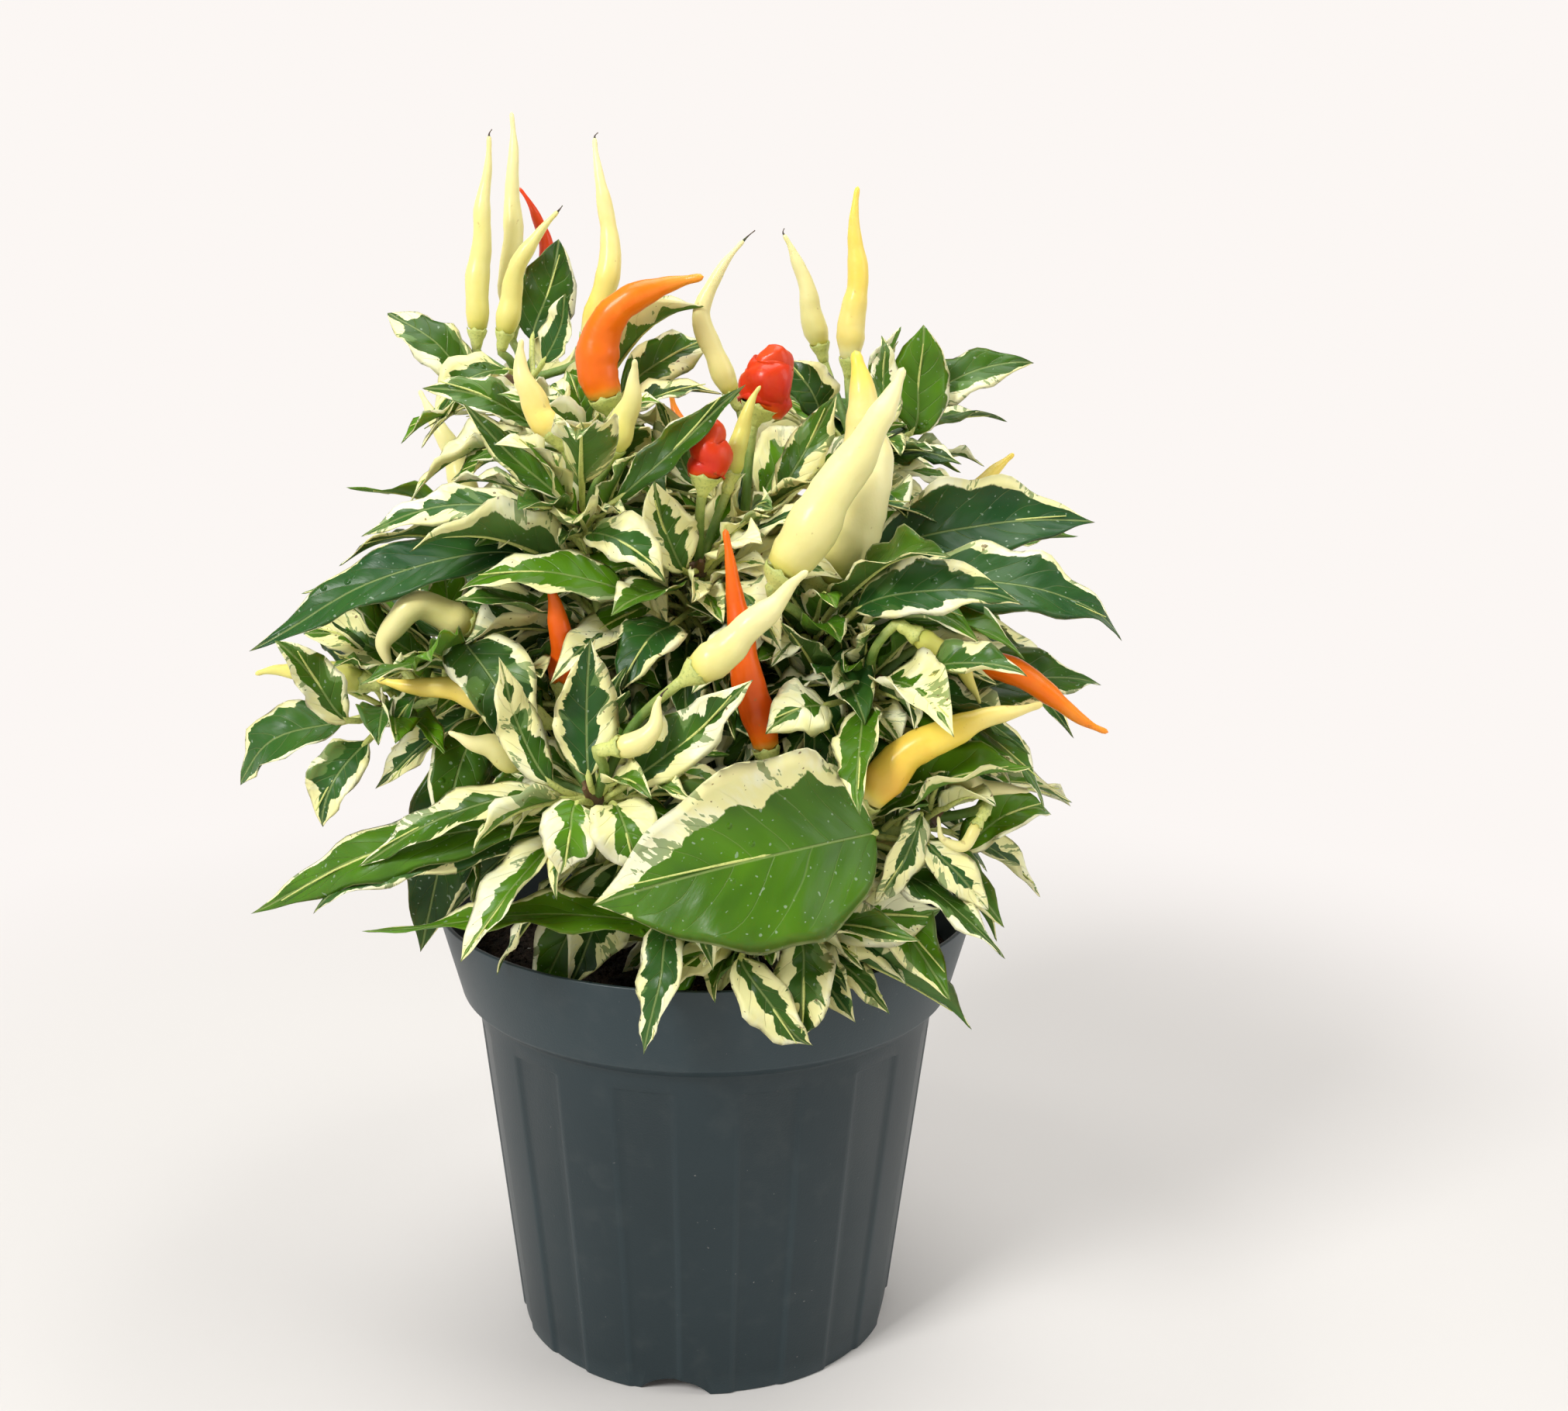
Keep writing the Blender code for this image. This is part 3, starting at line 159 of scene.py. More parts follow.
def line_length(line: Sequence[Vector]) -> float:
  """Measures a line of points."""
  return sum((end - start).length for start, end in zip(line, line[1:]))


def beside(along: Vector, turn: float) -> Vector:
  """Gives the way that stands off a line by an angle about it."""
  first = along.orthogonal().normalized()
  return first * cos(turn) + along.cross(first) * sin(turn)


def heading(turn: float, lift: float) -> Vector:
  """Gives the way with a turn about the pot's axis and a lift off the level."""
  return Vector((cos(turn) * cos(lift), sin(turn) * cos(lift), sin(lift)))


def blade_half_width(share: float, fall: float = OUTLINE_FALL) -> float:
  """Gives the half width of a leaf of unit width.

  Args:
    share: The place along it.
    fall: How fast it narrows.

  Returns:
    The half width.
  """
  peak = OUTLINE_RISE / (OUTLINE_RISE + fall)
  full = peak**OUTLINE_RISE * (1 - peak) ** fall
  return 0.5 * share**OUTLINE_RISE * (1 - share) ** fall / full


# ---- The plan of the plant ----


class Finish(Enum):
  """The material slots of the plant and its pot."""

  POT = "slate_plastic"
  SOIL = "potting_soil"
  STEM = "stem_green"
  DARK = "leaf_dark"
  MID = "leaf_mid"
  VARIEGATED = "leaf_variegated"
  CREAM_POD = "pod_cream"
  YELLOW_POD = "pod_yellow"
  ORANGE_POD = "pod_orange"
  RED_POD = "pod_red"
  LIME_POD = "pod_lime"


CREAM, YELLOW, ORANGE = Finish.CREAM_POD, Finish.YELLOW_POD, Finish.ORANGE_POD
RED, LIME = Finish.RED_POD, Finish.LIME_POD

# How ripe a pod is at its base and at its tip.
RIPENESS = {
  CREAM: (0.27, 0.40),
  YELLOW: (0.50, 0.57),
  ORANGE: (0.84, 0.72),
  RED: (1.0, 0.95),
  LIME: (0.08, 0.24),
}

# The share of nearly cream leaves on a shoot, and the range of cream on its other leaves.
CREAM_RANGES = {
  Finish.VARIEGATED: (0.5, 0.2, 0.6),
  Finish.MID: (0.3, 0.05, 0.5),
  Finish.DARK: (0.12, 0.0, 0.35),
}

KNUCKLES = {
  "front_low": (2, -12, 96),
  "front_left": (-10, -22, 117),
  "front_right": (12, -20, 113),
  "left": (-16, -8, 128),
  "upper": (-4, -5, 142),
  "right": (16, -8, 132),
  "back": (6, 18, 130),
  "back_left": (-14, 15, 128),
}
FORK = (0, -1, 106)
LIMB_STARTS = {"front_low": (1, -1, 89)}


@dataclass
class Leaf:
  """One leaf: its petiole runs from root to base, and its blade from base over mid to tip.

  width is the blade's full width, face the way that its upper side faces, and arch how far the
  middle is lifted off the straight line where mid isn't given. Where root isn't given, it is
  the end of the shoot's last twig. cream is the share without green, and tone runs from dark to
  light green. fold is how far the margins rise, as a share of the half width, and wave how far
  they wave. tipward draws the cream towards the tip, and lean draws it to one side.
  """

  base: Vector
  tip: Vector
  width: float
  face: Vector
  arch: float = 0.0
  cream: float = 0.5
  tone: float = 0.4
  fold: float = 0.25
  wave: float = 0.8
  tipward: float = 0.0
  lean: float = 0.0
  mid: Vector | None = None
  root: Vector | None = None

  def __post_init__(self) -> None:
    """Lifts the middle of a leaf that is given by its ends."""
    if self.mid is None:
      self.base, self.tip = Vector(self.base), Vector(self.tip)
      self.face = Vector(self.face).normalized()
      along = (self.tip - self.base).normalized()
      lifted = (self.face - along * self.face.dot(along)).normalized()
      self.mid = (self.base + self.tip) / 2 + lifted * self.arch

  @property
  def length(self) -> float:
    """The straight length of its blade."""
    return (self.tip - self.base).length

  def sized(self, large: object, medium: object, small: object) -> object:
    """Picks what fits a leaf of its size."""
    return large if self.length > LARGE_LEAF else medium if self.length > MEDIUM_LEAF else small


@dataclass(frozen=True)
class Pod:
  """One chilli: its middle line from base to tip, its radius and where its stalk starts."""

  name: str
  finish: Finish
  line: tuple[Point, ...]
  radius: float
  stalk: tuple[Point, Point]
  fullness: float = 1.0
  wrinkle: float = 0.8
  style: float = 0.0
  collar: float = 0.0
  ripe: tuple[float, float] | None = None

  def radius_at(self, share: float) -> float:
    """Gives its radius: a blunt base, a full shoulder and a long taper.

    Args:
      share: The place along it.

    Returns:
      The radius.
    """
    rise = min(1.0, POD_NECK + POD_SHOULDER * share)
    fall = (1 - share ** (POD_TAPER * self.fullness)) ** (POD_FULLNESS / self.fullness)
    return self.radius * rise * fall

  @property
  def foot(self) -> tuple[Vector, Vector]:
    """Where it starts, and the way that it grows there."""
    line = smooth_path(self.line, 6 if self.radius > THICK_POD_RADIUS else 5)
    return line[0], (line[1] - line[0]).normalized()

  def places(self, shares: Sequence[float]) -> list[Vector]:
    """Finds places on its line as it grows: a little crooked, with its tip turned.

    Args:
      shares: The places wanted, as rising shares of its length.

    Returns:
      The places.
    """
    draw = random.Random(f"{SEED} {self.name} line")
    along = (Vector(self.line[-1]) - Vector(self.line[0])).normalized()
    ways = beside(along, 0.0), beside(along, FULL_TURN / 4)
    beats = [(draw.uniform(1.2, 2.2), draw.uniform(0, 6.3)) for _ in range(2)]
    turn = draw.uniform(0, 6.3)
    hook = beside(along, turn) * self.radius * draw.uniform(0.2, 0.5)
    places = path_places(self.line, shares)
    for order, share in enumerate(shares):
      body = sin(pi * min(1.0, share * 1.15)) * self.radius * 0.14
      for way, (beat, phase) in zip(ways, beats):
        places[order] += way * body * sin(6.283 * beat * share + phase)
      places[order] += hook * max(0.0, (share - 0.78) / 0.22) ** 2
    return places


def twig_points(twig: tuple) -> list[Vector]:
  """Finds a twig's points; one that starts at a knuckle starts just off the stub there.

  Args:
    twig: A knuckle's name or a point, and the points after it.

  Returns:
    The points.
  """
  if not isinstance(twig[0], str):
    return [Vector(point) for point in twig]
  start = Vector(KNUCKLES[twig[0]])
  along = (Vector(twig[1]) - start).normalized()
  return [start + along * (STUB_LENGTH + GAP), *(Vector(point) for point in twig[1:])]


@dataclass
class Spray:
  """One leafy shoot: its twigs, the listed leaves, the leaves set by rule and its pods."""

  name: str
  finish: Finish
  twigs: tuple
  leaves: tuple[Leaf, ...] = ()
  pods: tuple[Pod, ...] = ()
  filler: int = 8
  filler_length: tuple[float, float] = (28.0, 46.0)
  spread: tuple[float, float] = (0.0, 360.0)
  lift: tuple[float, float] = (-5.0, 45.0)
  inner: int = 24
  shade: int = 9
  crown: int = 56
  limp: float = 1.3
  placed: list[Leaf] = field(default_factory=list)

  def draw(self, kind: str, order: int) -> random.Random:
    """Gives one leaf of a kind its own random numbers."""
    return random.Random(f"{SEED} {self.name} {kind} {order}")

  def twig_line(self, order: int) -> list[Vector]:
    """Gives the line of the twig whose turn it is."""
    return smooth_path(twig_points(self.twigs[order % len(self.twigs)]), TWIG_LINE_POINTS)

  def root(self, order: int, place: float) -> Vector:
    """Gives the point at a share of the length of the twig whose turn it is."""
    return self.twig_line(order)[int(place * (TWIG_LINE_POINTS - 1))]

  def spaced_root(self, root: Vector, order: int) -> Vector:
    """Finds a point a little further down the twig for each order.

    Args:
      root: A place on one of its twigs.
      order: The leaf's place in the set.

    Returns:
      The point.
    """
    for number in range(len(self.twigs)):
      line = self.twig_line(number)
      reach = [(point - root).length for point in line]
      nearest = reach.index(min(reach))
      if reach[nearest] < 1.0:
        break
    else:
      return root
    back = ROOT_SPACING * order
    while back > 0 and nearest > 1:
      back -= (line[nearest] - line[nearest - 1]).length
      nearest -= 1
    return line[nearest]


LOW = (11, -47, 101)
SIDE_NODE = (-19, -46, 129)
ROSETTE = (-21, -52, 132)
RIGHT_NODE = (27, -47, 123)
RIGHT_TWIG = (43, -42, 125)
LEFT_NODE = (-42, -26, 148)
LEFT_END = (-64, -26, 142)
SCAR = (-25, -20, 180)
CENTRE = (-2, -21, 170)
CENTRE_BACK = (7, -6, 176)
UPPER_RIGHT = (21, -26, 158)
ORANGE_NODE = (31, -34, 149)
TOP_NODE = (-26, 0, 193)
TOP_TUFT = (-42, 37, 203)
BACK_RIGHT_TOP = (32, 24, 190)
BACK_NODE = (8, 46, 159)
BACK_LEFT_NODE = (-42, 38, 158)
BACK_RIGHT_NODE = (42, 31, 151)

SPRAYS = (
  Spray("spray_front_low", Finish.VARIEGATED, (("front_low", (8, -30, 98), LOW),), (
    Leaf((-6, -54, 108), (-11, -66, 86), 9, (0, -1, 0.5), 6, 0.45, 0.3),
    Leaf((6, -59, 103), (18, -65, 86), 9, (0, -1, 0.3), 4, 0.45, 0.35),
    Leaf((17, -57, 106), (17, -66, 88), 11, (0.1, -1, 0.4), 5, 0.62, 0.35),
    Leaf((0, -44, 103), (-64, -56, 107), 9, (0, -0.7, 1), 6, 0.08, 0.8),
    Leaf((21, -50, 107), (45, -54, 109), 13, (0, -1, 0.9), 3, 0.68, 0.75),
    Leaf((15, -50, 107), (35, -52, 119), 9, (-0.3, -1, 0.5), 3, 0.85, 0.4),
  ), filler=6, filler_length=(22, 32), spread=(200, 340), lift=(0, 60), inner=36, limp=3.0),
  Spray("spray_front_left", Finish.VARIEGATED, (("front_left", (-16, -38, 124), ROSETTE),), (
    Leaf((-22, -57, 138), (-23, -56, 163), 12, (0.1, -1, 0.1), -3, 0.5, 0.2),
    Leaf((-15, -57, 136), (6, -68, 158), 10, (-0.4, -1, 0.5), -3, 0.58, 0.25),
    Leaf((-29, -56, 136), (-38, -60, 159), 9, (0.5, -1, 0.2), -4, 0.86, 0.3),
    Leaf((-24, -59, 133), (-26, -66, 121), 11, (0, -1, 0.5), 3, 0.62, 0.8),
    Leaf((-17, -60, 133), (-13, -68, 122), 12, (0.1, -1, 0.6), 4, 0.72, 0.6),
    Leaf((-31, -50, 127), (-89, -40, 104), 12, (-0.2, -0.8, 1), 7, 0.12, 0.55, root=SIDE_NODE),
    Leaf((-31, -52, 133), (-66, -50, 119), 9, (0, -0.9, 1), 4, 0.5, 0.4),
    Leaf((-30, -46, 124), (-77, -46, 109), 10, (-0.2, -1, 0.9), 5, 0.3, 0.35, root=SIDE_NODE),
  ), (
    Pod("pod_yellow_level", YELLOW, ((-32, -44, 145), (-47, -43, 150), (-63, -40, 151)),
      3.4, (ROSETTE, (-27, -47, 140)), collar=1.0),
    Pod("pod_yellow_short", CREAM, ((-35, -49, 138), (-41, -53, 142), (-47, -55, 145)),
      2.9, (ROSETTE, (-28, -49, 134))),
    Pod("pod_cream_hooked", CREAM, ((-17, -61, 144), (-11, -62, 146), (-9, -61, 154)),
      2.4, (ROSETTE, (-19, -58, 139)), style=2.5),
    Pod("pod_pale_slanted", CREAM, ((-3, -58, 157), (6, -58, 164), (17, -56, 176)),
      3.7, (ROSETTE, (-14, -53, 146))),
    Pod("pod_orange_small", ORANGE, ((-28, -38, 150), (-28, -38, 160), (-30, -40, 171)),
      3.0, ((-19, -44, 128), (-26, -38, 138)), wrinkle=1.3, ripe=(0.92, 0.84)),
  ), filler=6, spread=(120, 300), lift=(-10, 45), shade=30, crown=60, limp=1.8),
  Spray("spray_front_right", Finish.MID, (
    ("front_right", (20, -34, 117), RIGHT_NODE), (RIGHT_NODE, (35, -43, 123), RIGHT_TWIG),
  ), (
    Leaf((30, -58, 127), (-22, -72, 120), 34, (-0.05, -1, 0.35), 7, 0.16, 0.5, 0.12, 1.2, 1.1, 1.8,
      root=RIGHT_NODE),
    Leaf((41, -50, 123), (55, -56, 112), 8, (0.2, -1, 0.5), 2, 0.85, 0.3),
    Leaf((48, -42, 119), (68, -38, 128), 9, (0, -0.9, 1), 4, 0.15, 0.7),
    Leaf((40, -49, 128), (31, -57, 113), 9, (0.4, -1, 0.2), 2, 0.8, 0.3),
  ), (
    Pod("pod_yellow_right", YELLOW, ((29, -52, 131), (41, -53, 144), (63, -47, 149)),
      4.0, (RIGHT_NODE, (27, -51, 127)), ripe=(0.66, 0.48)),
    Pod("pod_cream_right", CREAM, ((42, -44, 137), (51, -45, 133), (61, -47, 132)),
      2.6, ((35, -43, 123), (35, -43, 136))),
    Pod("pod_curled", CREAM, ((51, -50, 127), (48, -52, 123), (44, -52, 124), (43, -52, 128)),
      1.3, (RIGHT_TWIG, (50, -44, 127))),
    Pod("pod_red_long", RED, ((11, -46, 139), (6, -44, 160), (3, -42, 181)),
      3.5, (RIGHT_NODE, (15, -46, 127)), ripe=(0.91, 0.84)),
  ), filler=7, spread=(-75, 50), lift=(-20, 40)),
  Spray("spray_left", Finish.DARK, (
    ("left", (-28, -18, 138), LEFT_NODE), (LEFT_NODE, (-52, -26, 146), LEFT_END),
  ), (
    Leaf((-46, -38, 158), (-33, -54, 139), 15, (0.3, -1, 0.6), 5, 0.36, 0.1, 0.3, root=LEFT_NODE),
    Leaf((-69, -37, 143), (-77, -45, 160), 9, (0.3, -1, 0.4), -2, 0.6, 0.4),
    Leaf((-66, -34, 138), (-76, -42, 124), 9, (0, -1, 0.6), 4, 0.5, 0.3),
    Leaf((-72, -26, 140), (-94, -24, 128), 14, (-0.2, -0.8, 1), 5, 0.25, 0.4),
  ), (
    Pod("pod_cream_arched", CREAM, ((-46, -28, 160), (-56, -32, 164), (-62, -34, 158),
      (-60, -34, 151)), 3.6, (LEFT_NODE, (-40, -26, 157))),
    Pod("pod_lime_left", LIME, ((-66, -31, 149), (-76, -30, 151), (-88, -28, 151)),
      2.8, ((-58, -26, 144), (-61, -30, 148))),
  ), filler=8, spread=(110, 260), lift=(-15, 40)),
  Spray("spray_upper_left", Finish.MID, (("left", (-20, -14, 152), SCAR),), (
    Leaf((-18, -24, 184), (8, -30, 206), 7, (-0.3, -1, 0.6), -2, 0.1, 0.25),
    Leaf((-29, -22, 184), (-48, -24, 202), 6, (0.4, -1, 0.3), -2, 0.12, 0.35),
    Leaf((-36, -24, 173), (-88, -30, 156), 13, (0, -0.8, 1), 7, 0.1, 0.15, root=(-21, -16, 160)),
    Leaf((-16, -36, 168), (-48, -38, 171), 13, (0, -0.9, 1), 4, 0.42, 0.75, root=(-23, -18, 168)),
    Leaf((-34, -22, 181), (-68, -22, 178), 9, (0, -0.9, 0.9), 5, 0.6, 0.4),
    Leaf((-23, -30, 178), (-8, -40, 172), 10, (0, -0.9, 1), 3, 0.55, 0.4),
  ), (
    Pod("pod_yellow_upper", YELLOW, ((-30, -21, 196), (-35, -21, 204), (-37, -21, 214)),
      3.1, (SCAR, (-27, -20, 189)), ripe=(0.54, 0.44)),
    Pod("pod_lime_upper", LIME, ((-19, -22, 193), (-16, -23, 201), (-14, -24, 211)),
      3.0, (SCAR, (-22, -21, 187)), ripe=(0.14, 0.38)),
  ), filler=6, spread=(130, 290), lift=(-10, 40)),
  Spray("spray_centre", Finish.VARIEGATED, (("upper", (-4, -13, 156), CENTRE),), (
    Leaf((-5, -28, 171), (-11, -32, 187), 11, (0.3, -1, 0.3), -2, 0.7, 0.4),
    Leaf((-7, -32, 161), (-17, -48, 152), 12, (0, -0.9, 1), 4, 0.3, 0.3, root=(-3, -17, 163)),
    Leaf((4, -29, 168), (14, -40, 158), 9, (0.2, -1, 0.8), 3, 0.75, 0.4),
  ), (
    Pod("pod_red_small", RED, ((-1, -25, 188), (0, -25, 194), (0, -25, 200)),
      3.9, (CENTRE, (-2, -24, 180)), 1.25, wrinkle=1.6),
    Pod("pod_lime_slim", LIME, ((4, -19, 188), (6, -18, 196), (9, -17, 206)),
      2.2, (CENTRE, (1, -20, 179))),
  ), filler=7, spread=(180, 380), lift=(-10, 50), crown=60),
  Spray("spray_centre_back", Finish.VARIEGATED, (("upper", (2, -4, 159), CENTRE_BACK),), (
    Leaf((14, -10, 184), (24, -12, 204), 9, (-0.3, -1, 0.3), -2, 0.6, 0.45),
    Leaf((-3, 2, 184), (-10, 6, 202), 9, (0.4, -1, 0.2), -2, 0.65, 0.35),
  ), (
    Pod("pod_red_wrinkled", RED, ((10, -5, 200), (12, -5, 206), (13, -5, 213)),
      5.3, (CENTRE_BACK, (8, -5, 190)), 1.3, wrinkle=2.6),
    Pod("pod_pale_curved", CREAM, ((5, 10, 202), (-1, 10, 215), (0, 10, 224), (6, 10, 234)),
      2.6, (CENTRE_BACK, (8, 5, 189)), style=3.5),
  ), filler=7, spread=(-60, 210), lift=(0, 55)),
  Spray("spray_upper_right", Finish.DARK, (("right", (19, -17, 146), UPPER_RIGHT),), (
    Leaf((38, -26, 168), (84, -28, 160), 17, (0.1, -0.9, 1), 6, 0.14, 0.12),
    Leaf((28, -37, 165), (58, -47, 171), 12, (0.1, -0.9, 1), 3, 0.3, 0.2, root=(20, -20, 150)),
    Leaf((34, -14, 172), (78, -14, 181), 17, (0, -1, 0.7), 5, 0.04, 0.05),
    Leaf((10, -32, 160), (-2, -46, 150), 9, (-0.2, -1, 0.8), 3, 0.75, 0.4),
  ), (
    Pod("pod_cream_big", CREAM, ((13, -42, 172), (23, -41, 188), (37, -33, 210)),
      5.2, (UPPER_RIGHT, (17, -36, 164)), 1.1, wrinkle=1.0),
    Pod("pod_yellow_broad", CREAM, ((21, -28, 168), (30, -24, 187), (29, -20, 213)),
      6.6, (UPPER_RIGHT, (20, -27, 162)), 1.1, wrinkle=1.0, ripe=(0.26, 0.56)),
  ), filler=6, spread=(-60, 60), lift=(-10, 45)),
  Spray("spray_right", Finish.MID, (("right", (25, -22, 140), ORANGE_NODE),), (
    Leaf((40, -28, 143), (80, -16, 147), 16, (0, -0.9, 1), 5, 0.2, 0.25),
    Leaf((40, -46, 155), (58, -56, 158), 9, (0, -0.9, 1), 2, 0.6, 0.4, root=(28, -27, 144)),
    Leaf((22, -44, 148), (10, -54, 147), 12, (0, -1, 0.8), 2, 0.95, 0.4),
  ), (
    Pod("pod_orange_right", ORANGE, ((46, -31, 156), (60, -34, 152), (77, -37, 140)),
      3.3, (ORANGE_NODE, (38, -31, 155))),
    Pod("pod_pale_arched", LIME, ((38, -44, 162), (46, -44, 157), (52, -42, 148)),
      2.3, (ORANGE_NODE, (31, -42, 158))),
  ), filler=8, spread=(-70, 60), lift=(-20, 30)),
  Spray("spray_top_left", Finish.VARIEGATED, (
    ("upper", (-14, 0, 165), TOP_NODE), ((-20, 0, 179), (-32, 20, 192), TOP_TUFT),
  ), (
    Leaf((-44, 26, 206), (-60, 16, 196), 10, (-0.2, -0.9, 1), 4, 0.45, 0.3),
    Leaf((-36, 28, 208), (-30, 20, 222), 9, (-0.3, -1, 0.3), -2, 0.4, 0.3),
    Leaf((-36, 2, 196), (-58, -2, 206), 9, (0, -1, 0.8), 3, 0.4, 0.3, root=TOP_NODE),
    Leaf((-18, 10, 202), (2, 16, 214), 10, (-0.2, -1, 0.7), 3, 0.45, 0.35, root=TOP_NODE),
    Leaf((-52, 33, 203), (-71, 36, 217), 15, (0.3, -0.9, 0.8), 3, 0.4, 0.3),
    Leaf((-40, 44, 212), (-33, 50, 234), 14, (0, -1, 0.2), -2, 0.15, 0.15),
  ), (
    Pod("pod_orange_big", ORANGE, ((-21, 0, 201), (-23, 0, 210), (-17, 0, 221), (-2, -2, 227)),
      4.7, (TOP_NODE, (-24, 0, 196))),
    Pod("pod_yellow_tuft_a", YELLOW, ((-52, 41, 213), (-51, 43, 234), (-48, 44, 256)),
      2.9, (TOP_TUFT, (-49, 40, 207)), style=1.5, ripe=(0.22, 0.34)),
    Pod("pod_yellow_tuft_b", CREAM, ((-45, 50, 215), (-45, 53, 238), (-44, 56, 262)),
      2.9, (TOP_TUFT, (-43, 46, 208)), ripe=(0.28, 0.38)),
    Pod("pod_yellow_tuft_c", CREAM, ((-45, 32, 213), (-41, 31, 229), (-33, 30, 240)),
      2.7, (TOP_TUFT, (-44, 33, 208)), style=2.0, ripe=(0.20, 0.30)),
    Pod("pod_yellow_tuft_d", YELLOW, ((-27, 37, 212), (-22, 38, 231), (-26, 42, 256)),
      3.0, (TOP_TUFT, (-32, 37, 206)), style=1.5, ripe=(0.56, 0.38)),
    Pod("pod_red_tuft", RED, ((-38, 57, 220), (-38, 60, 233), (-43, 62, 246)),
      2.3, (TOP_TUFT, (-39, 50, 210))),
  ), filler=6, spread=(40, 250), lift=(-10, 45), crown=60),
  Spray("spray_back_right_top", Finish.VARIEGATED, (("back", (20, 20, 160), BACK_RIGHT_TOP),), (
    Leaf((44, 20, 194), (46, 18, 216), 14, (-0.1, -1, 0.1), -2, 0.1, 0.6),
    Leaf((37, 12, 196), (37, 10, 214), 9, (0.2, -1, 0.2), -2, 0.55, 0.5),
    Leaf((24, 16, 198), (16, 14, 210), 10, (0, -1, 0.8), 2, 0.2, 0.15),
    Leaf((44, 28, 198), (72, 30, 210), 12, (0, -0.9, 1), 4, 0.35, 0.3),
  ), (
    Pod("pod_yellow_top", YELLOW, ((31, 31, 208), (32, 32, 226), (31, 32, 246)),
      3.2, (BACK_RIGHT_TOP, (31, 29, 200))),
    Pod("pod_pale_top", CREAM, ((25, 38, 211), (22, 38, 222), (17, 38, 236)),
      2.8, (BACK_RIGHT_TOP, (28, 34, 202)), style=2.0),
  ), filler=8, spread=(-50, 150), lift=(-10, 45)),
  Spray("spray_back", Finish.MID, (("back", (6, 36, 144), BACK_NODE),), (), (
    Pod("pod_yellow_back", YELLOW, ((12, 55, 176), (15, 60, 190), (16, 68, 206)),
      3.3, (BACK_NODE, (10, 52, 169))),
    Pod("pod_orange_back", ORANGE, ((-1, 58, 174), (-4, 65, 186), (-10, 70, 198)),
      3.4, (BACK_NODE, (4, 54, 168))),
  ), filler=11, spread=(20, 170), lift=(-25, 45), crown=60),
  Spray("spray_back_left", Finish.DARK, (("back_left", (-32, 28, 144), BACK_LEFT_NODE),), (), (
    Pod("pod_cream_back", CREAM, ((-54, 45, 174), (-60, 47, 188), (-67, 52, 200)),
      3.2, (BACK_LEFT_NODE, (-49, 44, 168))),
    Pod("pod_red_back", RED, ((-42, 54, 172), (-42, 60, 184), (-46, 68, 196)),
      3.0, (BACK_LEFT_NODE, (-43, 48, 168))),
  ), filler=11, spread=(80, 230), lift=(-25, 45), crown=60),
  Spray("spray_back_right", Finish.DARK, (("back", (28, 26, 142), BACK_RIGHT_NODE),), (), (
    Pod("pod_yellow_side", YELLOW, ((53, 37, 166), (60, 38, 178), (70, 42, 188)),
      3.3, (BACK_RIGHT_NODE, (49, 36, 160))),
    Pod("pod_red_side", RED, ((43, 45, 166), (43, 52, 178), (46, 58, 190)),
      3.0, (BACK_RIGHT_NODE, (44, 40, 160))),
  ), filler=11, spread=(-40, 110), lift=(-25, 40), crown=60),
)


# ---- Coarse shapes, as the solids have them ----


def leaf_shape(leaf: Leaf, margin: float = 0.0, blade_only: bool = False) -> Shape:
  """Builds a leaf's coarse shape.

  Args:
    leaf: The leaf.
    margin: How far the shape is grown.
    blade_only: Whether the petiole is left out.

  Returns:
    The points and faces.
  """
  count = LEAF_LINE_POINTS
  line = smooth_path((leaf.root, leaf.base, leaf.mid, leaf.tip), count)
  base_share = (leaf.base - leaf.root).length / line_length(line)
  shares = [(base_share, 0.0)] if blade_only else [(0.0, 0.0), (base_share, 0.0)]
  stations = leaf.sized((0.14, 0.38, 0.62, 0.84), (0.18, 0.46, 0.78), (0.3, 0.7))
  shares += [(base_share + (1 - base_share) * place, place) for place in stations]
  points = []
  for order, (share, station) in enumerate(shares):
    place = min(share * (count - 1), count - 1.001)
    index = int(place)
    centre = line[index].lerp(line[index + 1], place - index)
    along = (line[min(index + 2, count - 1)] - line[max(index - 1, 0)]).normalized()
    normal = (leaf.face - along * leaf.face.dot(along)).normalized()
    side = along.cross(normal)
    half = thick = PETIOLE_RADIUS + margin
    rise = 0.0
    if station:
      half = leaf.width * blade_half_width(station) + margin
      rise = half * leaf.fold + leaf.wave * (0.5 if order % 2 else -0.5)
      thick = BLADE_THICKNESS / 2 + margin
    points += [centre + side * half + normal * rise, centre + normal * thick]
    points += [centre - side * half + normal * rise, centre - normal * thick]
  points.append(line[-1])
  faces = [(0, 1, 2), (0, 2, 3)]
  last = len(points) - 5
  for row in range(0, last, 4):
    for corner in range(4):
      near, after = row + corner, row + (corner + 1) % 4
      if corner in (0, 3):
        faces += [(near, near + 4, after), (after, near + 4, after + 4)]
      else:
        faces += [(near, after + 4, after), (near, near + 4, after + 4)]
  faces += [(last + corner, last + 4, last + (corner + 1) % 4) for corner in range(4)]
  return points, faces


def tube_shape(points: Places, radii: Sequence[float]) -> Shape:
  """Builds a coarse round tube.

  Args:
    points: The points of its middle line.
    radii: Its radius at each of them.

  Returns:
    The points and faces.
  """
  curve = bpy.data.curves.new("tube", "CURVE")
  curve.dimensions = "3D"
  curve.bevel_depth = MM
  curve.bevel_resolution = 1
  curve.use_fill_caps = True
  spline = curve.splines.new("POLY")
  spline.points.add(len(points) - 1)
  for knot, point, radius in zip(spline.points, points, radii):
    knot.co = (*(Vector(point) * MM), 1.0)
    knot.radius = radius
  shape = mesh_shape(bpy.data.objects.new("tube", curve).to_mesh())
  bpy.data.curves.remove(curve, do_unlink=True)
  return shape


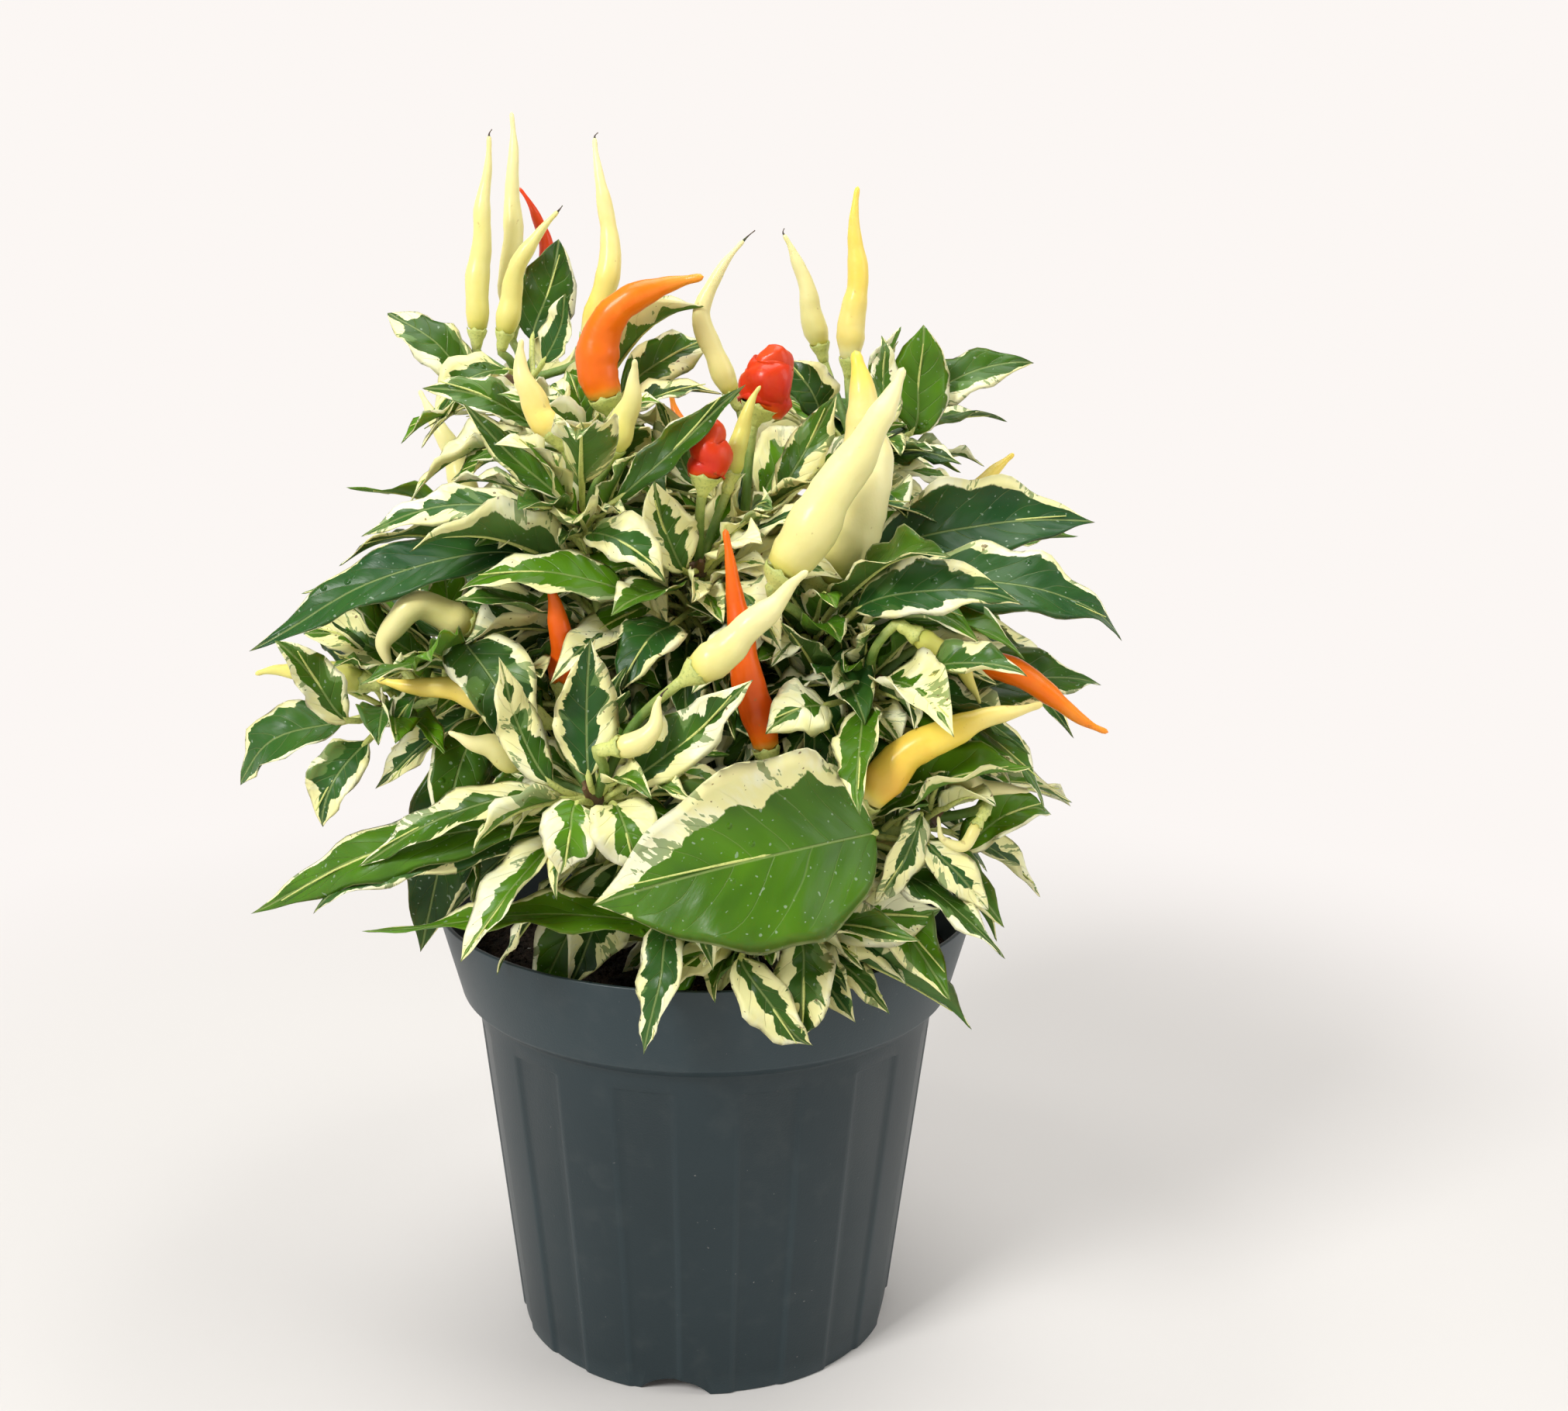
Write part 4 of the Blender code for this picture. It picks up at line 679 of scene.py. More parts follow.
def mesh_shape(mesh: Mesh) -> Shape:
  """Gives a mesh's points, in millimetres, and its faces."""
  points = [vertex.co / MM for vertex in mesh.vertices]
  return points, [tuple(face.vertices) for face in mesh.polygons]


def ball(points: Sequence[Vector]) -> tuple[Vector, float]:
  """Gives the middle of some points and how far they reach from it."""
  centre = sum(points, Vector()) / len(points)
  return centre, max((point - centre).length for point in points)


# ---- Setting the leaves by rule ----


class Hold(Enum):
  """How firmly something keeps its place against a young leaf."""

  FIRM = "pot, soil, stem or pod"
  MAIN = "leaf set by hand"
  SOFT = "leaf set by rule, as a solid too"
  YOUNG = "leaf set by rule, here alone"


def bent(leaf: Leaf, draw: random.Random, amount: float) -> Leaf:
  """Turns a leaf about its base by a small angle, and shortens it a little.

  Args:
    leaf: The leaf.
    draw: Its random numbers.
    amount: The angle in degrees.

  Returns:
    The bent leaf.
  """
  axis = Vector([draw.uniform(-1, 1) for _ in range(3)]).normalized()
  turn = Matrix.Rotation(radians(amount), 3, axis)
  shrink = 1 - BEND_SHRINK * amount
  mid, tip = (leaf.base + turn @ (place - leaf.base) * shrink for place in (leaf.mid, leaf.tip))
  return replace(leaf, mid=mid, tip=tip)


Span = tuple[float, float]


@dataclass(frozen=True)
class Rule:
  """A rule that sets leaves by turns around the shoots, with as many as a shoot's field says."""

  kind: str = "filler"
  hold: Hold = Hold.SOFT
  reach: float = 86.0
  draws: int = 6
  tries: int = 10
  foot: float = 0.0
  petiole: float = 0.22
  rise: float = 0.35
  sag: Span = (0.02, 0.3)
  arch: Span = (0.04, 0.13)
  aside: Span = (-0.5, 0.5)
  ahead: Span = (-0.6, 0.2)
  width: Span = (0.26, 0.4)
  fold: Span = (0.1, 0.5)
  wave: Span = (0.4, 1.4)
  cream: float = 1.0
  tone: float = 1.0

  def start(self, spray: Spray, order: int, draw: random.Random) -> tuple[Vector, Vector, float]:
    """Starts a leaf that the solids have too, by the golden angle on the shoot's free side.

    Args:
      spray: The leaf's shoot.
      order: Its place in the set.
      draw: Its random numbers.

    Returns:
      Where it is rooted, which way it grows and how long it is.
    """
    place = draw.uniform(0.15, 1.0) if order % 3 else 1.0
    first, last = spray.spread
    share = (order * GOLDEN_TURN + draw.uniform(0, 0.12)) % 1.0
    turn = radians(first + (last - first) * share)
    way = heading(turn, radians(draw.uniform(*spray.lift)))
    return spray.root(order, place), way, draw.uniform(*spray.filler_length)

  def leaf(self, spray: Spray, order: int, draw: random.Random) -> Leaf:
    """Makes a leaf.

    Args:
      spray: The leaf's shoot.
      order: Its place in the set.
      draw: Its random numbers.

    Returns:
      The leaf.
    """
    root, way, length = self.start(spray, order, draw)
    base = root + (way + UP * self.rise).normalized() * (self.foot + length * self.petiole)
    tip = base + way * length - UP * length * draw.uniform(*self.sag)
    mid = (base + tip) / 2 + UP * length * draw.uniform(*self.arch)
    face = (UP + Vector((draw.uniform(*self.aside), draw.uniform(*self.ahead), 0))).normalized()
    made = Leaf(base, tip, length * draw.uniform(*self.width), face, mid=mid, root=root)
    made.fold, made.wave = draw.uniform(*self.fold), draw.uniform(*self.wave)
    look = spray.draw(self.kind + " look", order)
    pale, low, high = CREAM_RANGES[spray.finish]
    cream = look.uniform(0.72, 1.05) if look.random() < pale else look.uniform(low, high)
    made.cream, made.tone = cream * self.cream, look.uniform(0.08, 0.95) * self.tone
    return made


@dataclass(frozen=True)
class Young(Rule):
  """A rule for leaves that no solid has: their size and how they stand on a twig."""

  hold: Hold = Hold.YOUNG
  draws: int = 5
  tries: int = 5
  foot: float = 2.5
  petiole: float = 0.25
  rise: float = 0.3
  sag: Span = (0.0, 0.25)
  arch: Span = (0.03, 0.14)
  aside: Span = (-0.6, 0.6)
  ahead: Span = (-0.9, 0.2)
  width: Span = (0.32, 0.5)
  fold: Span = (0.1, 0.75)
  wave: Span = (0.4, 1.2)
  size: Span = (11.0, 26.0)
  lift: Span = (-25, 70)
  twig: Span = (0.0, 0.95)
  at_end: int = 3
  outward: float = 0.5

  def start(self, spray: Spray, order: int, draw: random.Random) -> tuple[Vector, Vector, float]:
    """Starts a young leaf, which turns by the golden angle all around the twig.

    Args:
      spray: The leaf's shoot.
      order: Its place in the set.
      draw: Its random numbers.

    Returns:
      Where it is rooted, which way it grows and how long it is.
    """
    root = spray.root(order, draw.uniform(*(self.twig if order % self.at_end else (0.85, 1.0))))
    turn = order * GOLDEN_TURN * FULL_TURN + draw.uniform(-0.4, 0.4)
    away = Vector((root.x, root.y, 0)).normalized() * self.outward
    way = heading(turn, radians(draw.uniform(*self.lift))) + away + UP * 0.15
    return root, way.normalized(), draw.uniform(*self.size)


HAND = Rule("hand", Hold.MAIN, reach=100.0, tries=40)
YOUNG = (
  Young("inner", reach=82.0, size=(20, 36), lift=(-60, 45), twig=(0, 0.85), at_end=6,
     outward=0.25, cream=0.7, tone=0.8),
  Young("shade", reach=66.0, size=(26, 40), lift=(-85, -20), twig=(0, 0.6), at_end=9, cream=0.7,
     tone=0.62),
  Young("crown", reach=84.0, draws=4),
)


class Room:
  """What is already placed, so that the next leaf can be bent clear of it."""

  def __init__(self) -> None:
    """Starts with nothing placed."""
    self.taken: list[tuple] = []
    self.shown = np.empty((0, 3))

  @property
  def pods(self) -> list[tuple]:
    """The centre, reach and tree of each pod."""
    return [row[1:4] for row in self.taken if row[0].startswith("pod_")]

  def add(
    self, owner: str, shape: Shape, own_shape: Shape | None = None, hold: Hold = Hold.FIRM
  ) -> None:
    """Keeps a shape as taken.

    Args:
      owner: The shoot or piece that it belongs to.
      shape: The shape.
      own_shape: The part of it that its own shoot keeps clear of.
      hold: How firmly it keeps its place.
    """
    tree = BVHTree.FromPolygons(*shape)
    own_tree = BVHTree.FromPolygons(*own_shape) if own_shape else tree
    self.taken.append((owner, *ball(shape[0]), tree, own_tree, hold))

  def show(self) -> None:
    """Keeps the points of the front's pods and main leaves, which no young leaf may hide."""
    points = []
    for spray in (spray for spray in SPRAYS if spray.leaves):
      for pod in spray.pods:
        points += path_places(pod.line, evenly(9))
        foot, top = (Vector(point) for point in pod.stalk)
        if (top - foot).length > LONG_STALK:
          points += [foot.lerp(top, share) for share in (0.35, 0.7, 1.0)]
      for leaf in spray.placed[: len(spray.leaves)]:
        side = (leaf.tip - leaf.base).cross(leaf.face).normalized() * leaf.width * 0.35
        points += path_places((leaf.base, leaf.mid, leaf.tip), (0.1, 0.3, 0.5, 0.7, 0.9))
        points += [leaf.mid + side, leaf.mid - side]
    self.shown = np.array([tuple(point) for point in points])

  def hides(self, leaf: Leaf, tree: BVHTree) -> bool:
    """Tells whether a leaf hides one of those points from the front.

    Args:
      leaf: The leaf.
      tree: Its shape.

    Returns:
      Whether it does.
    """
    eye = np.array(EYE)
    rays = self.shown - eye
    far = np.linalg.norm(rays, axis=1)
    ahead = np.array(leaf.mid) - eye
    along = rays @ (ahead / np.linalg.norm(ahead))
    near = np.sqrt(np.maximum(0.0, far**2 - along**2)) / along < leaf.length * 0.7 / 380
    hits = (
      tree.ray_cast(Vector(eye), Vector(ray / reach), float(reach) - 0.5)
      for ray, reach in zip(rays[near], far[near])
    )
    return any(hit[0] is not None for hit in hits)

  def crossings(self, owner: str, leaf: Leaf, young: bool) -> int | None:
    """Counts what a leaf would cross.

    Args:
      owner: The leaf's shoot.
      leaf: The leaf.
      young: Whether it is a young leaf, which may brush against any leaf set by rule, but
        may hide nothing that is to be seen.

    Returns:
      How many things it may touch that it crosses, or None if it can't stand there.
    """
    whole = leaf_shape(leaf, CLEARANCE)
    whole_tree = BVHTree.FromPolygons(*whole)
    if young and self.hides(leaf, whole_tree):
      return None
    centre, reach = ball(whole[0])
    own, barred = [], []
    for name, middle, size, tree, own_tree, hold in self.taken:
      if (middle - centre).length > size + reach:
        continue
      if name == owner or (young and hold in (Hold.SOFT, Hold.YOUNG)):
        (barred if young and hold is Hold.MAIN else own).append(own_tree)
      elif tree.overlap(whole_tree):
        return None
    blade_tree = BVHTree.FromPolygons(*leaf_shape(leaf, CLEARANCE, True))
    if any(tree.overlap(blade_tree) for tree in barred):
      return None
    return sum(bool(tree.overlap(blade_tree)) for tree in own)

  def settle(self, spray: Spray, leaf: Leaf, draw: random.Random, rule: Rule) -> bool:
    """Places a leaf, bent until it is clear and within reach of the axis.

    Args:
      spray: The leaf's shoot.
      leaf: The leaf.
      draw: Its random numbers.
      rule: Its rule; a main leaf may cross its own shoot, and a young one may brush a leaf.

    Returns:
      Whether it was placed.
    """
    best = None
    for attempt in range(rule.tries):
      trial = bent(leaf, draw, BEND_START + BEND_STEP * attempt) if attempt else leaf
      if hypot(trial.tip.x, trial.tip.y) > rule.reach:
        continue
      own = self.crossings(spray.name, trial, rule.hold is Hold.YOUNG)
      if own == 0:
        best = trial
        break
      touching = rule.hold is Hold.MAIN or (rule.hold is Hold.YOUNG and own == 1)
      if own is not None and best is None and touching:
        best = trial
    if best is None:
      return False
    spray.placed.append(best)
    self.add(spray.name, leaf_shape(best), leaf_shape(best, blade_only=True), rule.hold)
    return True

  def fill(self, rule: Rule) -> None:
    """Sets the leaves of a rule.

    Args:
      rule: The rule.
    """
    counts = [getattr(spray, rule.kind) for spray in SPRAYS]
    for order in range(max(counts)):
      for spray in (spray for spray, count in zip(SPRAYS, counts) if order < count):
        draw = spray.draw(rule.kind, order)
        for _again in range(rule.draws):
          leaf = rule.leaf(spray, order, draw)
          if self.settle(spray, leaf, draw, rule):
            break
    log.info("%s leaves: %d in all", rule.kind, sum(len(spray.placed) for spray in SPRAYS))


def set_leaves() -> Room:
  """Places every leaf of the plant, each bent clear of what is there before it.

  Returns:
    All that is placed.
  """
  room = Room()
  for spray in SPRAYS:
    for twig in spray.twigs:
      radii = [TWIG_RADIUS * share for share in (1, 0.95, 0.9, 0.9)]
      room.add(spray.name, tube_shape(smooth_path(twig_points(twig), STEM_POINTS), radii))
    for pod in spray.pods:
      start, along = pod.foot
      seat = start - along * GAP
      width = max(pod.radius_at(0.0), POD_TIP_RADIUS) * CALYX_FLARE
      radii = [STALK_RADIUS, STALK_RADIUS, STALK_RADIUS * CALYX_NECK, width]
      stalk = (*pod.stalk, seat - along * CALYX_LENGTH, seat)
      room.add(spray.name, tube_shape(stalk, radii))
      room.add(pod.name, mesh_shape(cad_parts[pod.name].data))
  for name in ("pot", "soil", "trunk"):
    room.add(name, mesh_shape(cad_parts[name].data))
  for spray in SPRAYS:
    for order, leaf in enumerate(spray.leaves):
      root = Vector(leaf.root or spray.twigs[-1][-1])
      rooted = replace(leaf, root=spray.spaced_root(root, order))
      room.settle(spray, rooted, spray.draw("hand", order), HAND)
  room.fill(Rule())
  room.show()
  for rule in YOUNG:
    room.fill(rule)
  return room


# ---- Node sheets ----


Value = Union["Wire", float, int]


def operator(operation: str, swapped: bool = False) -> Callable[..., "Wire"]:
  """Makes a wire's operator; a swapped one takes the wire as its second value."""
  ordered = (lambda *pair: pair[::-1]) if swapped else (lambda *pair: pair)
  return lambda wire, other=0.0: wire.sheet.math(operation, *ordered(wire, other))


@dataclass(frozen=True)
class Wire:
  """A value socket of a node sheet, with the operators of arithmetic."""

  sheet: "Sheet"
  socket: NodeSocket

  __add__, __radd__ = operator("ADD"), operator("ADD", True)
  __sub__, __rsub__ = operator("SUBTRACT"), operator("SUBTRACT", True)
  __mul__, __rmul__ = operator("MULTIPLY"), operator("MULTIPLY", True)
  __truediv__, __rtruediv__ = operator("DIVIDE"), operator("DIVIDE", True)
  __gt__, __lt__ = operator("GREATER_THAN"), operator("LESS_THAN")
  __abs__ = operator("ABSOLUTE")


@dataclass(frozen=True)
class Sheet:
  """A node tree in the making."""

  tree: NodeTree

  def give(self, socket: NodeSocket, value: object) -> None:
    """Links a wire or a socket to a socket, or sets its value.

    Args:
      socket: The socket.
      value: What it takes.
    """
    if isinstance(value, (Wire, NodeSocket)):
      self.tree.links.new(value.socket if isinstance(value, Wire) else value, socket)
    elif socket.type == "RGBA":
      socket.default_value = (*value[:3], 1.0)
    else:
      socket.default_value = value

  def node(self, kind: str, inputs: dict | None = None, **settings: object) -> Node:
    """Adds a node.

    Args:
      kind: The node's type.
      inputs: Values, wires or sockets by input name or number.
      settings: Its settings, set first; stops are a colour ramp's.

    Returns:
      The node.
    """
    made = self.tree.nodes.new(kind)
    stops = settings.pop("stops", ())
    for name, value in settings.items():
      setattr(made, name, value)
    for _more in stops[2:]:
      made.color_ramp.elements.new(0.5)
    for element, (place, colour) in zip(made.color_ramp.elements if stops else (), stops):
      element.position = place
      element.color = (*colour, 1.0)
    for key, value in (inputs or {}).items():
      self.give(made.inputs[key], value)
    return made

  def wire(self, kind: str, inputs: dict, **settings: object) -> Wire:
    """Adds a node, and reads its first output."""
    return Wire(self, self.node(kind, inputs, **settings).outputs[0])

  def math(self, operation: str, first: Value, second: Value = 0.0) -> Wire:
    """Works a Math node's operation on one or two values."""
    return self.wire("ShaderNodeMath", {0: first, 1: second}, operation=operation)

  def step(self, value: Value, low: Value, high: Value) -> Wire:
    """Rises smoothly from 0 to 1 between two values."""
    inputs = {"Value": value, "From Min": low, "From Max": high}
    return self.wire("ShaderNodeMapRange", inputs, interpolation_type="SMOOTHSTEP")

  def mix(self, share: Value, first: object, second: object) -> NodeSocket:
    """Mixes a share of a second colour into a first; each is a colour or a socket."""
    return self.node("ShaderNodeMix", {0: share, 6: first, 7: second}, data_type="RGBA").outputs[2]

  def split(self, vector: NodeSocket, kind: str = "XYZ") -> tuple[Wire, ...]:
    """Splits a vector, or a colour, into its three values."""
    made = self.node("ShaderNodeSeparate" + kind, {0: vector})
    return tuple(Wire(self, socket) for socket in made.outputs)

  def value(self, name: str) -> Wire:
    """Reads a number attribute."""
    return Wire(self, self.node("ShaderNodeAttribute", attribute_name=name).outputs["Fac"])

  def values(self, name: str) -> tuple[Wire, ...]:
    """Reads the three values of a vector attribute."""
    return self.split(self.node("ShaderNodeAttribute", attribute_name=name).outputs["Vector"])

  def place(self) -> NodeSocket:
    """Gives the object's own coordinates."""
    return self.node("ShaderNodeTexCoord").outputs["Object"]

  def noise(self, scale: float, detail: float = 2.0, vector: object | None = None) -> Wire:
    """Adds a noise, for a metre on the object or for a vector."""
    inputs = {"Vector": vector or self.place(), "Scale": scale, "Detail": detail}
    return self.wire("ShaderNodeTexNoise", inputs)


# ---- Finishes ----


@dataclass(frozen=True)
class Skin:
  """A finish: a material whose shader takes what its look says."""

  name: str

  def look(self, sheet: Sheet) -> dict[str, object]:
    """Says what each socket of the shader takes; Height and Depth are its bump's."""
    raise NotImplementedError(self.name)

  def build(self) -> Material:
    """Makes the material.

    Returns:
      The material.
    """
    material = bpy.data.materials.new(self.name)
    material.use_nodes = True
    sheet = Sheet(material.node_tree)
    look = self.look(sheet)
    if "Height" in look:
      bump = {"Strength": 1.0, "Distance": look.pop("Depth"), "Height": look.pop("Height")}
      look["Normal"] = sheet.node("ShaderNodeBump", bump).outputs[0]
    shader = material.node_tree.nodes["Principled BSDF"]
    for key, value in look.items():
      sheet.give(shader.inputs[key], value)
    return material


@dataclass(frozen=True)
class LeafSkin(Skin):
  """A blade: green along its midrib, cream towards the margin, with veins, specks and drops."""

  deep: Colour = (0.01, 0.042, 0.006)
  fresh: Colour = (0.1, 0.26, 0.006)
  grey: Colour = (0.13, 0.235, 0.06)
  cool: Colour = (0.02, 0.092, 0.026)
  cream: Colour = (0.9, 0.85, 0.4)
  white: Colour = (0.93, 0.91, 0.61)
  rib: Colour = (0.36, 0.45, 0.15)
  speck: Colour = (0.15, 0.08, 0.03)
  dot: Colour = (0.38, 0.48, 0.36)

  def look(self, sheet: Sheet) -> dict[str, object]:
    """Paints the blade by the attributes vein, look, trim and tipward.

    Args:
      sheet: The material's sheet.

    Returns:
      What each socket of the shader takes.
    """
    along, across, reach = sheet.values("vein")
    cream, tone, seed = sheet.values("look")
    under, lean, length = sheet.values("trim")
    tipward = sheet.value("tipward")
    edge = abs(across)
    course = along * length - abs(reach) * 0.8

    def along_veins(fine: float, wide: float, shift: float, detail: float) -> Wire:
      """A noise about 0 that is drawn out along the side veins."""
      inputs = {0: course * fine, 1: reach * wide, 2: seed * 57.0 + shift}
      return sheet.noise(1.0, detail, sheet.wire("ShaderNodeCombineXYZ", inputs)) - 0.5

    lobes = along_veins(0.17, 0.08, 0.0, 1.0)
    ragged = along_veins(0.9, 0.5, 3.0, 2.0)
    clouds = along_veins(0.16, 0.11, 7.0, 1.0)
    depth = sheet.math("MINIMUM", cream * 1.6 + 0.18, 1.0)
    shifted = edge + lean * across * 0.35 + tipward * (along - 0.45)
    field = shifted + (lobes * 1.9 + ragged * 0.3) * depth
    margin = sheet.step(field - (1.12 - cream * 1.1), -0.015, 0.02)
    inner = edge * 0.6 + clouds * 2.2 + ragged * 0.25 + tipward * (along - 0.4)
    greyed = sheet.step(inner - 0.52, -0.02, 0.04) * sheet.step(cream, 0.2, 0.45)
    island = sheet.step(clouds * 1.4 + ragged * 0.9, 0.2, 0.23) * sheet.step(cream, 1.02, 0.85)

    count = length * 0.06 + 4.2
    sector = (along - edge * 0.2 - edge * edge * 0.07) * count
    sector = sector + (across > 0.0) * 0.5 + lobes * 0.5 + seed * 3.0
    part = sheet.math("FRACT", sector)
    gap = (0.5 - abs(part - 0.5)) / count * length
    lines = (1.0 - sheet.step(gap, 0.03, 0.22)) * (1.0 - sheet.step(edge, 0.6, 0.95))
    rib = 1.0 - sheet.step(abs(reach), 0.10, 0.34)

    patch = sheet.noise(75.0, 2.0) - 0.5
    shade = sheet.step(sheet.math("FRACT", seed * 7.3), 0.5, 0.95) * sheet.step(tone, 0.8, 0.3)
    dots = sheet.step(sheet.noise(1150.0, 0.0), 0.77, 0.81)
    leafy = sheet.mix(tone + patch * 0.5 + clouds * 0.5, self.deep, self.fresh)
    leafy = sheet.mix(shade * 0.5, leafy, self.cool)
    leafy = sheet.mix(greyed * 0.85, leafy, self.grey)
    leafy = sheet.mix(dots * 0.45, leafy, self.dot)
    leafy = sheet.mix(lines * 0.16 + rib * 0.42, leafy, self.rib)
    pale = sheet.mix(sheet.step(patch + ragged * 0.3, -0.08, 0.16), self.cream, self.white)
    pale = sheet.mix(lines * 0.06 + rib * 0.2, pale, self.rib)
    pale = sheet.mix(island * 0.8, pale, self.grey)
    blade = sheet.mix(margin, leafy, pale)
    blade = sheet.mix(sheet.step(edge, 0.955, 0.985) * 0.22, blade, self.cream)
    flecks = sheet.step(sheet.noise(850.0, 1.0), 0.735, 0.76) * margin
    blade = sheet.mix(flecks * 0.8, blade, self.speck)
    blade = sheet.mix(under * 0.28, blade, self.grey)

    cells = sheet.node("ShaderNodeTexVoronoi", {"Vector": sheet.place(), "Scale": 260.0})
    wet = sheet.split(cells.outputs["Color"], "Color")[1]
    drop = 1.0 - sheet.step(Wire(sheet, cells.outputs["Distance"]), 0.04, 0.2)
    drop = drop * sheet.step(wet, 0.80, 0.81) * (1.0 - under) * (1.0 - margin)
    swell = sheet.math("SINE", part * pi) * (1.0 - edge)
    height = swell * 0.5 - lines * 0.25 - rib * 0.5 + ragged * 0.2 + drop * 0.9 + lobes * 1.6
    rough = 0.34 + ragged * 0.2 + under * 0.2 + margin * 0.08 - drop * 0.24
    return {
      "Base Color": blade, "Roughness": rough, "Height": height, "Depth": 0.0003,
      "Subsurface Weight": 0.06, "Subsurface Scale": 0.002, "Specular IOR Level": 0.24,
    }


@dataclass(frozen=True)
class StemSkin(Skin):
  """Stalks and twigs: fresh green at age 0, purple brown at a fork, dry brown at age 1."""

  young: Colour = (0.6, 0.64, 0.19)
  green: Colour = (0.1, 0.2, 0.03)
  purple: Colour = (0.05, 0.03, 0.026)
  dry: Colour = (0.15, 0.078, 0.036)

  def look(self, sheet: Sheet) -> dict[str, object]:
    """Paints the stem by the attribute age.

    Args:
      sheet: The material's sheet.

    Returns:
      What each socket of the shader takes.
    """
    age, patch, grain = sheet.value("age"), sheet.noise(260.0, 3.0), sheet.noise(1800.0, 3.0)
    stops = ((0.06, self.young), (0.34, self.green), (0.62, self.purple), (0.95, self.dry))
    ramp = sheet.node("ShaderNodeValToRGB", {0: age + (patch - 0.5) * 0.22}, stops=stops)
    streaks = sheet.step(grain, 0.52, 0.68) * 0.35
    return {
      "Base Color": sheet.mix(streaks, ramp.outputs[0], self.green),
      "Roughness": 0.38 + age * 0.3 + grain * 0.12,
      "Height": grain * 0.5 + patch, "Depth": 0.0003,
      "Subsurface Weight": 0.05, "Subsurface Scale": 0.001,
    }


@dataclass(frozen=True)
class PodSkin(Skin):
  """A chilli's waxy skin, which ripens from lime over cream, yellow and orange to red."""

  lime: Colour = (0.44, 0.5, 0.09)
  pale: Colour = (0.74, 0.67, 0.17)
  cream: Colour = (0.85, 0.79, 0.4)
  yellow: Colour = (0.88, 0.66, 0.095)
  orange: Colour = (0.9, 0.175, 0.002)
  red: Colour = (0.6, 0.022, 0.006)
  mark: Colour = (0.34, 0.2, 0.05)

  def look(self, sheet: Sheet) -> dict[str, object]:
    """Paints the pod by the attribute ripe.

    Args:
      sheet: The material's sheet.

    Returns:
      What each socket of the shader takes.
    """
    cloud, fine = sheet.noise(90.0, 2.0), sheet.noise(700.0, 3.0)
    place = sheet.value("ripe") + (cloud - 0.5) * 0.13 + (fine - 0.5) * 0.03
    colours = (self.lime, self.pale, self.cream, self.yellow, self.orange, self.red)
    stops = tuple(zip((0.0, 0.2, 0.4, 0.57, 0.78, 1.0), colours))
    ramp = sheet.node("ShaderNodeValToRGB", {0: place}, stops=stops)
    marks = sheet.step(sheet.noise(520.0, 2.0), 0.70, 0.76) * 0.35
    return {
      "Base Color": sheet.mix(marks, ramp.outputs[0], self.mark),
      "Roughness": 0.29 + fine * 0.14 + marks * 0.3,
      "Height": cloud + fine * 0.18, "Depth": 0.0005,
      "Subsurface Weight": 0.08, "Subsurface Scale": 0.002, "Coat Weight": 0.16,
      "Coat Roughness": 0.14, "Specular IOR Level": 0.24,
    }


@dataclass(frozen=True)
class PotPlastic(Skin):
  """Moulded slate plastic: satin, faintly mottled, with pale dust specks, paler edges and painted
  highlights along the panel seams.
  """

  slate: Colour = (0.007, 0.017, 0.021)
  pale: Colour = (0.029, 0.05, 0.058)
  dust: Colour = (0.22, 0.22, 0.2)

  def look(self, sheet: Sheet) -> dict[str, object]:
    """Paints the plastic, paler at its edges and in painted highlight lines along the panel seams,
    as a point attribute says.

    Args:
      sheet: The material's sheet.

    Returns:
      What each socket of the shader takes.
    """
    flow, fine = sheet.noise(26.0, 4.0), sheet.noise(2600.0, 2.0)
    # Paler at the rim, band and foot edges, and in painted highlight lines along the panel seams.
    colour = sheet.mix(flow * 0.5 + sheet.value("worn") * 0.45, self.slate, self.pale)
    specks = sheet.step(sheet.noise(900.0, 2.0), 0.755, 0.78) * sheet.step(flow, 0.35, 0.6)
    smear = sheet.step(sheet.noise(160.0, 6.0), 0.5, 0.8) * 0.05
    colour = sheet.mix(specks * 0.7, colour, self.dust)
    return {
      "Base Color": sheet.mix(smear, colour, self.dust),
      "Roughness": 0.36 + flow * 0.12 + specks * 0.3 + smear,
      "Height": fine * 0.5 + flow * 0.3, "Depth": 0.00008, "Specular IOR Level": 0.38,
    }


@dataclass(frozen=True)
class GrainSkin(Skin):
  """Loose grains of one kind: soil crumbs, bark slivers or perlite."""

  dark: Colour = (0.012, 0.008, 0.005)
  light: Colour = (0.05, 0.03, 0.018)

  def look(self, sheet: Sheet) -> dict[str, object]:
    """Paints the grains.

    Args:
      sheet: The material's sheet.

    Returns:
      What each socket of the shader takes.
    """
    patch, grain = sheet.noise(300.0, 3.0), sheet.noise(2200.0, 3.0)
    share = sheet.step(patch * 0.7 + grain * 0.3, 0.38, 0.66)
    return {
      "Base Color": sheet.mix(share, self.dark, self.light), "Roughness": 0.85 + grain * 0.1,
      "Height": grain, "Depth": 0.0006, "Specular IOR Level": 0.3,
    }


